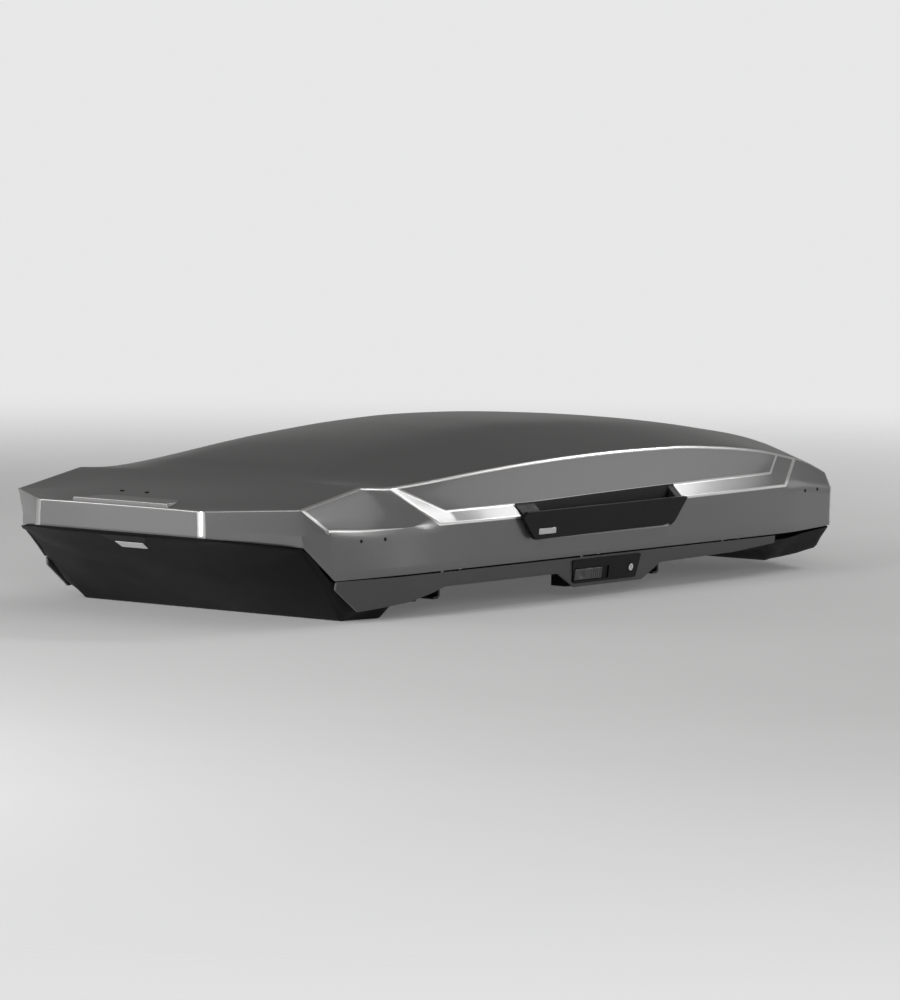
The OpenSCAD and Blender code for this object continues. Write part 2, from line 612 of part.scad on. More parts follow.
// liner of the pocket behind the grip's plate
module grip_tray_right() {
    color(base_black)
        plate_xz([[422, 146.6], [422, 148.8], [405, 152.4], [401, 210], [398.6, 210], [402.5, 150.4]],
                 yy((pocket_s[0] + pocket_s[1]) / 2), pocket_s[1] - pocket_s[0] - 4);
}
module grip_tray_left() {
    left_copy() grip_tray_right();
}
module handle_left() {
    left_copy() handle_right();
}
module handle_badge_right() {
    color([0.75, 0.75, 0.75]) grip_frame() translate([grip_t + 0.1, yy(872), 154 - grip_top_z])
        rotate([90, 0, 90]) linear_extrude(height = 1.2) offset(r = 2) square([56, 11], center = true);
}
module handle_badge_left() {
    left_copy() handle_badge_right();
}
// rounded foot of an ear, below the hinge line
ear_foot = [[hinge_x - 7.5, hinge_z - 3], [hinge_x - 3, hinge_z - 7.5], [hinge_x + 3, hinge_z - 7.5],
            [hinge_x + 7.5, hinge_z - 3]];
// brackets on the lid wall, each with an ear around a pivot pin
module lid_pivot_right() {
    color(steel) for (s = pivot_s) {
        difference() {
            plate_xz(concat(ear_foot, [[hinge_x + 8, 118], [409, 122], [409, 150], [hinge_x, 150],
                                       [hinge_x - 7.5, 118]]), yy(s), 10);
            rod_y(hinge_x, hinge_z, yy(s) - 6, yy(s) + 6, rod_r + run_gap);
        }
        box_at([406, 409.5], [yy(s) - 24, yy(s) + 24], [120, 152]);
    }
}
module lid_pivot_left() {
    left_copy() lid_pivot_right();
}

// ---- hinge rail: hooks over the fixed rods, pins for the lid's ears, arms for the lifters ----
rail_z = [110, 113];
module rail_hook(y) {
    r = rod_r + hook_gap;
    difference() {
        plate_xz([[382.5, rail_z[0] + 1], [382.5, 85], [392, 85], [hinge_x - r, 88], [hinge_x - r, hinge_z],
                  [hinge_x + r, hinge_z], [hinge_x + r, 93], [hinge_x + 7.5, 95],
                  [hinge_x + 7.5, rail_z[0] + 1]], y, 10);
        rod_y(hinge_x, hinge_z, y - 6, y + 6, r);
        rod_y(bolt_x, bolt_z, y - 6, y + 6, bolt_r + 0.35);
    }
}
module rail_lug(y) {
    difference() {
        plate_xz(concat([[hinge_x - 7.5, rail_z[0] + 1]], ear_foot, [[hinge_x + 7, rail_z[0] + 1]]), y, 5);
        rod_y(hinge_x, hinge_z, y - 4, y + 4, rod_r - 0.01);
    }
}
module lifter_arm(y) {
    plate_xz([[396, rail_z[0]], [396, 122], [352, 122], [330, 100], [330, 64], [346, 64], [350, 82],
              [366, 114], [386, 114], [388, rail_z[0]]], y, 5);
}
module hinge_rail_right() {
    color(steel) {
        difference() {
            box_at([384, 405], [yy(hook_s[0]) - 30, yy(hook_s[2]) + 30], rail_z);
            for (s = pivot_s) box_at([389, 410], [yy(s) - 7, yy(s) + 7], [rail_z[0] - 1, rail_z[1] + 1]);
        }
        for (s = hook_s) rail_hook(yy(s));
        for (s = pivot_s) {
            for (e = [-1, 1]) rail_lug(yy(s) + e * 12);
            rod_y(hinge_x, hinge_z, yy(s) - 18, yy(s) + 18, rod_r);
        }
        for (s = lifter_s) {
            lifter_arm(yy(s) + 21);
            rod_y(lift_low_x, lift_low_z, yy(s) + 7, yy(s) + 19, 4);
        }
    }
}
module hinge_rail_left() {
    left_copy() hinge_rail_right();
}

// ---- lid lifters: a tube that hangs from the rib's pivot and a rod down to the rail's stud ----
lift_dx = lift_low_x - lift_top_x;
lift_dz = lift_low_z - lift_top_z;
lift_len = sqrt(lift_dx * lift_dx + lift_dz * lift_dz);
// local frame: origin at the upper pivot, -Z along the lifter
module lifter_frame(s) {
    translate([lift_top_x, yy(s) + 11, lift_top_z]) rotate([0, atan2(-lift_dx, -lift_dz), 0]) children();
}
module lifter_tube_right() {
    color([0.12, 0.12, 0.12]) for (s = lifter_s) lifter_frame(s) difference() {
        union() {
            rotate([90, 0, 0]) cylinder(h = 10, r = 8, center = true);
            translate([0, 0, -86]) cylinder(h = 80, r = 6);
        }
        rotate([90, 0, 0]) cylinder(h = 12, r = 4 + run_gap, center = true);
        translate([0, 0, -87]) cylinder(h = 76, r = 3.5 + run_gap);
    }
}
module lifter_tube_left() {
    left_copy() lifter_tube_right();
}
// the rod's foot has a long slot, so the stud can wander as the lid swings
module lifter_rod_right() {
    color(steel) for (s = lifter_s) lifter_frame(s) difference() {
        union() {
            translate([0, 0, -lift_len + 9]) cylinder(h = lift_len - 9 - 30, r = 3.5);
            translate([0, 0, -lift_len]) rotate([90, 0, 0]) linear_extrude(height = 8, center = true)
                foot_outline(9);
        }
        translate([0, 0, -lift_len]) rotate([90, 0, 0]) linear_extrude(height = 10, center = true)
            foot_outline(6.2);
    }
}
module foot_outline(r) {
    for (e = [-1, 1]) translate([0, 2 * e]) circle(r = r);
    square([2 * r, 4], center = true);
}
module lifter_rod_left() {
    left_copy() lifter_rod_right();
}

base_tail();
base_floor();
base_nose();
sill_trim_right();
sill_trim_left();
lock_plate_right();
lock_plate_left();
lock_case_right();
lock_case_left();
hinge_bracket_right();
hinge_bracket_left();
hinge_rod_right();
hinge_rod_left();
floor_rails();
base_mat();
rim_seal();
badge_plate();
base_screws();
clamp_housing_rear_right();
clamp_housing_rear_left();
clamp_housing_front_right();
clamp_housing_front_left();
clamp_knob_rear_right();
clamp_knob_rear_left();
clamp_knob_front_right();
clamp_knob_front_left();
clamp_jaw_rear_right();
clamp_jaw_rear_left();
clamp_jaw_front_right();
clamp_jaw_front_left();
slide_latch_right();
slide_latch_left();
lock_bar_right();
lock_bar_left();
key_cylinder_right();
key_cylinder_left();
lid_shell();
lid_ribs();
lid_rivets();
handle_right();
handle_left();
grip_tray_right();
grip_tray_left();
handle_badge_right();
handle_badge_left();
lid_pivot_right();
lid_pivot_left();
hinge_rail_right();
hinge_rail_left();
lifter_tube_right();
lifter_tube_left();
lifter_rod_right();
lifter_rod_left();
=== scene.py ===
import json
import math

import bmesh
import bpy
from mathutils import Matrix, Vector


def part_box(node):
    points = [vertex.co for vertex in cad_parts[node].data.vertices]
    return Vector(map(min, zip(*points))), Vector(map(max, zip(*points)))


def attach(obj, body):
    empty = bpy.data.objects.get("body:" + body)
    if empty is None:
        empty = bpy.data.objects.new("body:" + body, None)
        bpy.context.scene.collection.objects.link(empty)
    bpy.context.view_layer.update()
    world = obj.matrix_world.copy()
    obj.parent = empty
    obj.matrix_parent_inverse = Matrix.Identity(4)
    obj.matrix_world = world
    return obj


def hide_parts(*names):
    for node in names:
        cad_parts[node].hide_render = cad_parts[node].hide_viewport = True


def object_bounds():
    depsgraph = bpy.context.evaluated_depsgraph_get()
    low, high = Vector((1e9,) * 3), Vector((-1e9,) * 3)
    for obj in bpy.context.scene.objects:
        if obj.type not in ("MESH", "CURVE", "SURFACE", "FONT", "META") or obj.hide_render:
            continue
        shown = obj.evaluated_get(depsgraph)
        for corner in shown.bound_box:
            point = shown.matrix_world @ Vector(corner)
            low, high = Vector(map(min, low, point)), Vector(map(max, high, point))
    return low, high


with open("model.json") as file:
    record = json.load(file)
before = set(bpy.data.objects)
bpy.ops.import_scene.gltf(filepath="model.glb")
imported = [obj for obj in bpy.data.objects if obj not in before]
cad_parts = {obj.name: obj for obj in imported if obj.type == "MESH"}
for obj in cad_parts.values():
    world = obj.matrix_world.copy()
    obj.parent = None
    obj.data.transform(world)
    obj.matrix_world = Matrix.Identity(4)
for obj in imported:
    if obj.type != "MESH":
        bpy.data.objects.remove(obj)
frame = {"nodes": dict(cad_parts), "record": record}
cad_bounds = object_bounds()

# Sizes are in millimetres. A station s is the distance forwards from the tail face.
MM = 0.001
TAIL_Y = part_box("lid_shell")[0].y
SIDES = (("right", 1), ("left", -1))


def at(x, s, z):
    """A point from millimetres across, station and height."""
    return Vector((x * MM, TAIL_Y + s * MM, z * MM))


def y_of(s):
    """The station's place along Y, in millimetres."""
    return TAIL_Y / MM + s


# ---------------------------------------------------------------- long lines


def line(points, corners=()):
    """A monotone curve through (station, value) points, with a kink at each corner station."""
    s = [p[0] for p in points]
    v = [p[1] for p in points]
    n = len(s)
    d = [(v[i + 1] - v[i]) / (s[i + 1] - s[i]) for i in range(n - 1)]
    into = [d[0]] + [0.0] * (n - 1)
    out = [d[0]] + [0.0] * (n - 1)
    for i in range(1, n - 1):
        if s[i] in corners:
            into[i], out[i] = d[i - 1], d[i]
        elif d[i - 1] * d[i] > 0:
            into[i] = out[i] = 2 * d[i - 1] * d[i] / (d[i - 1] + d[i])
    into[-1] = out[-1] = d[-1]

    def value(station):
        station = min(max(station, s[0]), s[-1])
        i = max(k for k in range(n - 1) if s[k] <= station)
        h = s[i + 1] - s[i]
        t = (station - s[i]) / h
        return (v[i] * (1 + 2 * t) * (1 - t) ** 2 + out[i] * h * t * (1 - t) ** 2
                + v[i + 1] * t * t * (3 - 2 * t) - into[i + 1] * h * t * t * (1 - t))

    return value


# The right side's lines along the lid: X is half the width and Z the height, against the station.
# EDGE is the lower edge, WIDE the widest line, STEP the foot of the recessed panel and BROW the top of
# the side. CROWN_Z is the height of the lid's middle, and LEAF_CHAMFER the width of the narrow facet
# under the leaf shape of the side's rear.
EDGE_X = line([(0, 216), (133, 371), (218, 385), (450, 412), (1750, 412), (2015, 390), (2060, 345),
               (2110, 270), (2150, 185), (2160, 150)], (133, 218, 2015))
EDGE_Z = line([(0, 179), (133, 161), (218, 90), (450, 92), (1800, 92), (2015, 96), (2160, 102)], (133, 218))
WIDE_X = line([(0, 216), (133, 372), (187, 390), (322, 399.5), (450, 411.5), (560, 418), (700, 421),
               (1500, 421), (1800, 412), (2015, 391), (2060, 345), (2110, 270), (2150, 185), (2160, 150)],
              (133, 187, 2015))
WIDE_Z = line([(0, 200), (133, 188), (187, 190), (310, 185), (450, 187), (545, 189), (900, 188),
               (1450, 196), (1800, 198), (2015, 180), (2110, 166), (2160, 152)])
STEP_X = line([(520, 396), (600, 397), (1750, 397), (1900, 390)])
STEP_Z = line([(520, 211), (850, 212), (1100, 217), (1373, 222), (1780, 227), (1900, 228)])
BROW_X = line([(0, 214), (118, 373), (310, 373), (404, 374), (1750, 374), (1922, 377), (2015, 374),
               (2060, 326), (2110, 248), (2150, 162), (2160, 132)], (118, 2015))
BROW_Z = line([(0, 233), (118, 238), (310, 272), (404, 267), (540, 273), (710, 284), (880, 293),
               (1050, 299), (1230, 302), (1410, 301), (1600, 291), (1745, 277), (1850, 259), (1922, 244),
               (2015, 214), (2110, 186), (2160, 164)], (118, 310))
CROWN_Z = line([(0, 234), (60, 242), (250, 266), (350, 286), (430, 306), (600, 334), (760, 349), (930, 360),
                (1100, 365), (1270, 362), (1450, 353), (1630, 339), (1820, 316), (2015, 286), (2060, 268),
                (2110, 234), (2150, 190), (2160, 172)])
LEAF_CHAMFER = line([(187, 4.5), (322, 3.6), (410, 0.8), (524, 0.3)])
LID_T = 3.5

# pocket behind each grip: its first and last stations, and (half width, height) of its lip and heel
POCKET = (870, 1350)
POCKET_RAMP = 3
POCKET_LIP = (418.5, 144)
POCKET_HEEL = (402, 148)


# ---------------------------------------------------------------- materials


def new_material(name, color, rough, metallic=0.0, coat=0.0, specular=0.5):
    material = bpy.data.materials.new(name)
    material.use_nodes = True
    tree = material.node_tree
    shader = tree.nodes["Principled BSDF"]
    shader.inputs["Base Color"].default_value = (*color, 1)
    shader.inputs["Roughness"].default_value = rough
    shader.inputs["Metallic"].default_value = metallic
    shader.inputs["Coat Weight"].default_value = coat
    shader.inputs["Specular IOR Level"].default_value = specular
    return material, tree, shader


def noise(tree, scale, detail=2.0, rough=0.5):
    coords = tree.nodes.new("ShaderNodeTexCoord")
    node = tree.nodes.new("ShaderNodeTexNoise")
    node.inputs["Scale"].default_value = scale
    node.inputs["Detail"].default_value = detail
    node.inputs["Roughness"].default_value = rough
    tree.links.new(coords.outputs["Object"], node.inputs["Vector"])
    return node.outputs["Fac"]


def ramp(tree, source, low, high):
    """Turns a 0 to 1 pattern into a colour or a grey between low and high."""
    node = tree.nodes.new("ShaderNodeValToRGB")
    for stop, place, value in zip(node.color_ramp.elements, (0.3, 0.7), (low, high)):
        stop.position = place
        stop.color = (*value, 1) if isinstance(value, tuple) else (value, value, value, 1)
    tree.links.new(source, node.inputs["Fac"])
    return node.outputs["Color"]


def bump(tree, shader, source, strength, distance):
    node = tree.nodes.new("ShaderNodeBump")
    node.inputs["Strength"].default_value = strength
    node.inputs["Distance"].default_value = distance
    tree.links.new(source, node.inputs["Height"])
    tree.links.new(node.outputs["Normal"], shader.inputs["Normal"])


def scaled(color, factor):
    return tuple(min(1.0, c * factor) for c in color)


def paint(name, color, rough, metallic, coat):
    """Satin metallic film: fine flakes, slow changes of tone and a faint orange peel."""
    material, tree, shader = new_material(name, color, rough, metallic, coat)
    shader.inputs["Coat Roughness"].default_value = 0.1
    flakes = noise(tree, 1800.0, 1.0)
    slow = noise(tree, 3.0, 3.0)
    mix = tree.nodes.new("ShaderNodeMix")
    mix.data_type = "RGBA"
    mix.blend_type = "MULTIPLY"
    mix.inputs["Factor"].default_value = 1.0
    tree.links.new(ramp(tree, flakes, scaled(color, 0.82), scaled(color, 1.2)), mix.inputs["A"])
    tree.links.new(ramp(tree, slow, 0.94, 1.0), mix.inputs["B"])
    tree.links.new(mix.outputs["Result"], shader.inputs["Base Color"])
    tree.links.new(ramp(tree, slow, rough * 0.94, rough * 1.06), shader.inputs["Roughness"])
    bump(tree, shader, noise(tree, 260.0, 2.0), 0.04, 0.0004)
    return material


def moulded(name, color, rough, grain=900.0, depth=0.00025, relief=0.35, specular=0.5):
    """Moulded plastic or rubber: fine grain in colour, gloss and surface."""
    material, tree, shader = new_material(name, color, rough, 0.0, 0.0, specular)
    fine = noise(tree, grain, 3.0, 0.6)
    slow = noise(tree, 6.0, 3.0)
    tree.links.new(ramp(tree, fine, scaled(color, 0.85), scaled(color, 1.15)), shader.inputs["Base Color"])
    tree.links.new(ramp(tree, slow, rough * 0.92, min(1.0, rough * 1.08)), shader.inputs["Roughness"])
    bump(tree, shader, fine, relief, depth)
    return material


def metal(name, color, rough):
    """Bare or plated metal with fine rolling marks."""
    material, tree, shader = new_material(name, color, rough, 1.0)
    fine = noise(tree, 700.0, 4.0, 0.6)
    tree.links.new(ramp(tree, fine, scaled(color, 0.88), scaled(color, 1.05)), shader.inputs["Base Color"])
    tree.links.new(ramp(tree, fine, rough * 0.8, rough * 1.2), shader.inputs["Roughness"])
    bump(tree, shader, fine, 0.08, 0.0002)
    return material


MATERIALS = {
    "lid_finish": paint("lid_finish", (0.17, 0.168, 0.168), 0.36, 0.65, 0.6),
    # a lighter copy of the lid's paint for the bevels and the leaf's chamfer: a painted highlight standing
    # in for their bright edge reflections
    "lid_painted_highlight": paint("lid_painted_highlight", (0.52, 0.515, 0.51), 0.3, 0.75, 0.6),
    "lid_lining": moulded("lid_lining", (0.03, 0.03, 0.031), 0.6),
    "sill_plastic": moulded("sill_plastic", (0.075, 0.075, 0.076), 0.46,
                            grain=1100.0, depth=0.00015, relief=0.25, specular=0.4),
    "base_plastic": moulded("base_plastic", (0.0045, 0.0045, 0.0047), 0.55,
                            grain=700.0, depth=0.0003, relief=0.4, specular=0.14),
    "trim_plastic": moulded("trim_plastic", (0.006, 0.006, 0.0062), 0.45,
                            grain=1200.0, depth=0.00015, relief=0.25, specular=0.16),
    "latch_plastic": moulded("latch_plastic", (0.06, 0.06, 0.062), 0.35,
                             grain=1400.0, depth=0.0001, relief=0.2),
    "badge_plastic": paint("badge_plastic", (0.62, 0.62, 0.62), 0.3, 0.4, 0.2),
    "knob_plastic": moulded("knob_plastic", (0.32, 0.02, 0.015), 0.38, depth=0.0002, relief=0.25),
    "rubber": moulded("rubber", (0.014, 0.014, 0.015), 0.75, grain=500.0, depth=0.0004, relief=0.5),
    "steel": metal("steel", (0.52, 0.52, 0.54), 0.34),
    "jaw_steel": moulded("jaw_steel", (0.02, 0.02, 0.02), 0.45, grain=800.0, depth=0.0002, relief=0.3),
    "rail_aluminium": metal("rail_aluminium", (0.62, 0.62, 0.64), 0.3),
    "chrome": metal("chrome", (0.82, 0.82, 0.84), 0.12),
}

for part in frame["record"]["subparts"]:
    node = frame["nodes"][part["node"]]
    node.data.materials.clear()
    node.data.materials.append(MATERIALS[part["material_slot"]])


# ---------------------------------------------------------------- mesh tools


def piece(name, mesh_maker, slot, body, *replaced, extra=()):
    """Makes a piece on a body and hides the CAD nodes that it stands for.

    The piece's material is the slot's, and extra adds material slots after it.
    """
    bm = bmesh.new()
    bm.edges.layers.float.new("bevel_weight_edge")
    mesh_maker(bm)
    mesh = bpy.data.meshes.new(name)
    bm.to_mesh(mesh)
    bm.free()
    obj = bpy.data.objects.new(name, mesh)
    bpy.context.scene.collection.objects.link(obj)
    for polygon in mesh.polygons:
        polygon.use_smooth = True
    mesh.materials.append(MATERIALS[slot])
    for finish in extra:
        mesh.materials.append(MATERIALS[finish])
    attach(obj, body)
    if replaced:
        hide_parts(*replaced)
    return obj


def bevel(obj, width, segments=3, by_weight=False, angle=30.0):
    """Rounds the marked edges, or every edge sharper than the angle."""
    mod = obj.modifiers.new("bevel", "BEVEL")
    mod.width = width * MM
    mod.segments = segments
    mod.limit_method = "WEIGHT" if by_weight else "ANGLE"
    mod.angle_limit = math.radians(angle)
    mod.use_clamp_overlap = not by_weight
    return mod


def thicken(obj, thickness, inner_slot=0):
    """Gives a sheet its thickness inwards; the inside takes the material inner_slot places further on."""
    mod = obj.modifiers.new("thicken", "SOLIDIFY")
    mod.thickness = thickness * MM
    mod.offset = -1
    mod.material_offset = inner_slot


def steady_normals(obj):
    """Shades flat faces flat and bevels round."""
    obj.modifiers.new("normals", "WEIGHTED_NORMAL").keep_sharp = True


def mark_path(bm, verts, weight):
    """Marks the edges between neighbouring vertices of a path for bevelling."""
    layer = bm.edges.layers.float["bevel_weight_edge"]
    for pair in zip(verts, verts[1:]):
        edge = bm.edges.get(pair)
        if edge:
            edge[layer] = max(edge[layer], weight)


def spread(stops, counts):
    """Values from stop to stop, each interval cut into its count of steps."""
    values = []
    for a, b, n in zip(stops, stops[1:], counts):
        values += [a + (b - a) * k / n for k in range(n)]
    return values + [stops[-1]]


def between(a, b, share):
    """The point, or tuple of numbers, a share of the way from a to b."""
    return tuple(p + (q - p) * share for p, q in zip(a, b))


def to_scene(matrix, x, y, z):
    """A point of a local frame, given in millimetres, in the scene's metres."""
    return matrix @ (Vector((x, y, z)) * MM)


def circle(cx, cy, radius, n):
    """Points round a circle; radius is a number or a list with one for each point."""
    radii = radius if isinstance(radius, list) else [radius] * n
    angles = [2 * math.pi * k / n for k in range(n)]
    return [(cx + r * math.cos(a), cy + r * math.sin(a)) for r, a in zip(radii, angles)]


# ---------------------------------------------------------------- lid

# Each column is a line across the side, from the lower edge up to the brow, given by its station on the
# lower edge, the widest line, the foot of the panel and the brow. Slanted columns follow the facets' edges.
COLUMNS = {
    "tail": (0, 0, 0, 0),
    "fold": (133, 129, 121, 112),
    "leaf_rear": (218, 187, 155, 122),
    "leaf_peak": (330, 322, 316, 310),
    "leaf_mid": (455, 445, 415, 372),
    "wall_out": (535, 524, 466, 404),
    "wall_in": (600, 574, 566, 420),
    "pocket_a": 4 * (POCKET[0] - POCKET_RAMP,),
    "pocket_b": 4 * (POCKET[0],),
    "pocket_c": 4 * (POCKET[1],),
    "pocket_d": 4 * (POCKET[1] + POCKET_RAMP,),
    "front_in": (1720, 1752, 1758, 1816),
    "front_out": (1800, 1796, 1822, 1884),
    "corner": 4 * (2015,),
    "nose_a": 4 * (2060,),
    "nose_b": 4 * (2110,),
    "nose_c": 4 * (2150,),
    "nose": 4 * (2160,),
}
NAMES = list(COLUMNS)
CUTS = dict(zip(NAMES, (6, 3, 7, 7, 4, 1, 16, 1, 24, 1, 20, 1, 7, 3, 3, 3, 1)))
ROWS_SIDE, ROWS_LEDGE, ROWS_PANEL = 5, 2, 3
ACROSS = 36


def lid_columns():
    """Every column's four stations, and where each named column falls."""
    columns, index = [], {}
    for k, name in enumerate(NAMES):
        index[name] = len(columns)
        if k + 1 < len(NAMES):
            cuts = CUTS[name]
            columns += [between(COLUMNS[name], COLUMNS[NAMES[k + 1]], j / cuts) for j in range(cuts)]
    columns.append(COLUMNS[NAMES[-1]])
    return columns, index


def side_points(stations, recessed, pocket):
    """The right half of a column, bottom to brow, as (x, station, z)."""
    e, w, f, b = stations
    edge = (EDGE_X(e), e, EDGE_Z(e))
    wide = (WIDE_X(w), w, WIDE_Z(w))
    brow = (BROW_X(b), b, BROW_Z(b))
    foot = (STEP_X(f), f, STEP_Z(f)) if recessed else between(wide, brow, 0.42)
    heel = between(wide, foot, 0.5)
    start, fade, stop = (COLUMNS[name][1] for name in ("leaf_rear", "leaf_mid", "wall_out"))
    if start <= w < stop:
        chamfer = LEAF_CHAMFER(w)
        near = (wide[0] - chamfer, w, wide[2] + chamfer)
        share = max(0.0, (w - fade) / (stop - fade))
        heel = between(near, heel, share)
        foot = between(between(near, brow, 0.4), foot, share)
    if pocket:
        wide = (POCKET_LIP[0], w, POCKET_LIP[1])
        heel = (POCKET_HEEL[0], w, POCKET_HEEL[1])
    points = [between(edge, wide, k / ROWS_SIDE) for k in range(ROWS_SIDE)]
    half = ROWS_LEDGE // 2
    points += [between(wide, heel, k / half) for k in range(half)]
    points += [between(heel, foot, k / half) for k in range(half)]
    points += [between(foot, brow, k / ROWS_PANEL) for k in range(ROWS_PANEL)]
    return points + [brow]


DOME_SLOPE, DOME_DROP, DOME_CREASE = 1.53, 0.48, 0.05


def soft_min(a, b, softness):
    """The smaller of two numbers, with a rounded change from one to the other."""
    return -softness * math.log(math.exp(-a / softness) + math.exp(-b / softness))


def dome(u):
    """Share of the rise from brow to crown: a slope, a soft crease and a gently crowned top.

    u runs from -1 at the left brow to 1 at the right one. The share is 0 at both and 1 in the middle.
    """
    a = abs(u)
    slope = DOME_SLOPE * (1 - a) * (1 + 0.3 * a)
    top = 1 - DOME_DROP * a * a
    at_brow = soft_min(0.0, 1 - DOME_DROP, DOME_CREASE)
    above_crown = soft_min(DOME_SLOPE, 1.0, DOME_CREASE) - 1.0
    return soft_min(slope, top, DOME_CREASE) - (at_brow * a ** 8 + above_crown * (1 - a) ** 4)


# The material slots after the finish. The bevels take a lighter copy of the paint, a painted highlight, and
# the inside of each is lining.
LID_SLOTS = ("lid_lining", "lid_painted_highlight", "lid_lining")
HIGHLIGHT_SLOT = 2


def build_lid(bm):
    columns, index = lid_columns()
    last = len(columns) - 1
    us = [2 * j / ACROSS - 1 for j in range(ACROSS + 1)]
    rows = ROWS_SIDE + ROWS_LEDGE + ROWS_PANEL
    top = []
    for e, w, f, b in columns:
        xb, zb, zc = BROW_X(b), BROW_Z(b), CROWN_Z(b)
        top.append([bm.verts.new(at(u * xb, b, zb + (zc - zb) * dome(u))) for u in us])
    side = {1: [], -1: []}
    for i, stations in enumerate(columns):
        pocket = index["pocket_b"] <= i <= index["pocket_c"]
        recessed = index["wall_in"] <= i <= index["front_in"]
        points = side_points(stations, recessed, pocket)
        for sign in side:
            verts = [bm.verts.new(at(sign * p[0], p[1], p[2])) for p in points[:-1]]
            side[sign].append(verts + [top[i][-1 if sign > 0 else 0]])
    ends = {}
    for i in (0, last):
        points = side_points(columns[i], False, False)
        inner = [[bm.verts.new(at(u * p[0], p[1], p[2])) for p in points[:-1]] for u in us[1:-1]]
        strips = [side[-1][i]] + [col + [top[i][j + 1]] for j, col in enumerate(inner)] + [side[1][i]]
        ends[i] = strips
    for i in range(last):
        for j in range(ACROSS):
            bm.faces.new((top[i][j], top[i][j + 1], top[i + 1][j + 1], top[i + 1][j]))
        # the leaf's chamfer row takes the painted highlight material, a lighter copy of the lid's paint
        chamfer_painted_bright = index["leaf_rear"] <= i < index["leaf_peak"] + 5
        for r in range(rows):
            a, b = side[1][i], side[1][i + 1]
            c, d = side[-1][i], side[-1][i + 1]
            for quad in ((a[r], b[r], b[r + 1], a[r + 1]), (d[r], c[r], c[r + 1], d[r + 1])):
                face = bm.faces.new(quad)
                if chamfer_painted_bright and r == ROWS_SIDE:
                    face.material_index = HIGHLIGHT_SLOT
    for j in range(ACROSS):
        for r in range(rows):
            a, b = ends[0][j], ends[0][j + 1]
            bm.faces.new((a[r], b[r], b[r + 1], a[r + 1]))
            a, b = ends[last][j], ends[last][j + 1]
            bm.faces.new((b[r], a[r], a[r + 1], b[r + 1]))
    mark_lid(bm, index, side, ends, last)
    bm.normal_update()


def mark_lid(bm, index, side, ends, last):
    """Feature edges that get a rounded bevel; weight 1 is the full bevel width."""
    wide, heel, foot = ROWS_SIDE, ROWS_SIDE + ROWS_LEDGE // 2, ROWS_SIDE + ROWS_LEDGE
    brow = foot + ROWS_PANEL
    for sign in side:
        cols = side[sign]

        def run(row, a, b, weight, skip_first=0, skip_last=0):
            span = range(index[a] + skip_first, index[b] + 1 - skip_last)
            mark_path(bm, [cols[i][row] for i in span], weight)

        def column(name, low, high, weight):
            mark_path(bm, cols[index[name]][low:high + 1], weight)

        run(brow, "tail", "leaf_rear", 0.35)
        run(brow, "leaf_rear", "wall_out", 0.75)
        run(brow, "wall_out", "front_out", 0.75)
        run(brow, "front_out", "corner", 0.5)
        column("tail", 0, brow, 1.3)
        column("leaf_rear", wide, brow, 0.6)
        column("wall_out", wide, brow, 0.6)
        column("wall_in", foot, brow, 0.4)
        run(wide, "wall_out", "pocket_a", 0.5, skip_last=1)
        run(foot, "wall_in", "pocket_a", 0.4)
        run(wide, "pocket_d", "front_out", 0.5, skip_first=1)
        run(foot, "pocket_a", "front_in", 0.4)
        column("front_in", foot, brow, 0.4)
        column("front_out", wide, brow, 0.6)
        column("corner", 0, brow, 1.0)
        for name in ("fold", "leaf_rear"):
            lower = cols[index[name]][:wide + 1]
            for pair in zip(lower, lower[1:]):
                bm.edges.get(pair).smooth = False
    for i, strips in ends.items():
        mark_path(bm, [s[-1] for s in strips], 0.35 if i == 0 else 0.2)


lid = piece("lid_skin", build_lid, "lid_finish", "lid", "lid_shell", extra=LID_SLOTS)
# the bevels take the painted highlight material, lighter than the lid's paint
bevel(lid, 7.0, 3, by_weight=True).material = HIGHLIGHT_SLOT
thicken(lid, LID_T, 1)
steady_normals(lid)


def deck_z(x, s):
    """Height of the lid's top at a point."""
    low = BROW_Z(s)
    return low + (CROWN_Z(s) - low) * dome(x / BROW_X(s))


LIP_STATIONS = (4.5, 6, 25, 45, 62, 76)
LIP_HALF = (122, 100)                           # half width at the rear and at the front
LIP_RISE = 7.5
LIP_SKIRT = (4, -1.0)                           # how far out and up its sides end
LIP_STEPS = 20


def build_lip(bm):
    """A low raised wedge across the middle of the tail deck."""
    first, last = LIP_STATIONS[0], LIP_STATIONS[-1]
    rows = []
    for s in LIP_STATIONS:
        share = (s - first) / (last - first)
        half = LIP_HALF[0] + (LIP_HALF[1] - LIP_HALF[0]) * share
        rise = LIP_RISE * (1 - share) ** 1.3 + 0.25
        row = [(half * (2 * k / LIP_STEPS - 1), rise) for k in range(LIP_STEPS + 1)]
        out, up = LIP_SKIRT
        row = [(-half - out, up)] + row + [(half + out, up)]
        rows.append([bm.verts.new(at(x, s, deck_z(x, s) + h)) for x, h in row])
    rear = [bm.verts.new(at(v.co.x / MM, first - 0.3, deck_z(v.co.x / MM, first) - 5)) for v in rows[0]]
    rows.insert(0, rear)
    for a, b in zip(rows, rows[1:]):
        for k in range(len(a) - 1):
            bm.faces.new((a[k], a[k + 1], b[k + 1], b[k]))
    bm.normal_update()


lip = piece("deck_lip", build_lip, "lid_finish", "lid", extra=LID_SLOTS[:HIGHLIGHT_SLOT])
# the lip's bevel takes the painted highlight material, lighter than the lid's paint
bevel(lip, 1.2, 2).material = HIGHLIGHT_SLOT
steady_normals(lip)


# ---------------------------------------------------------------- base hulls

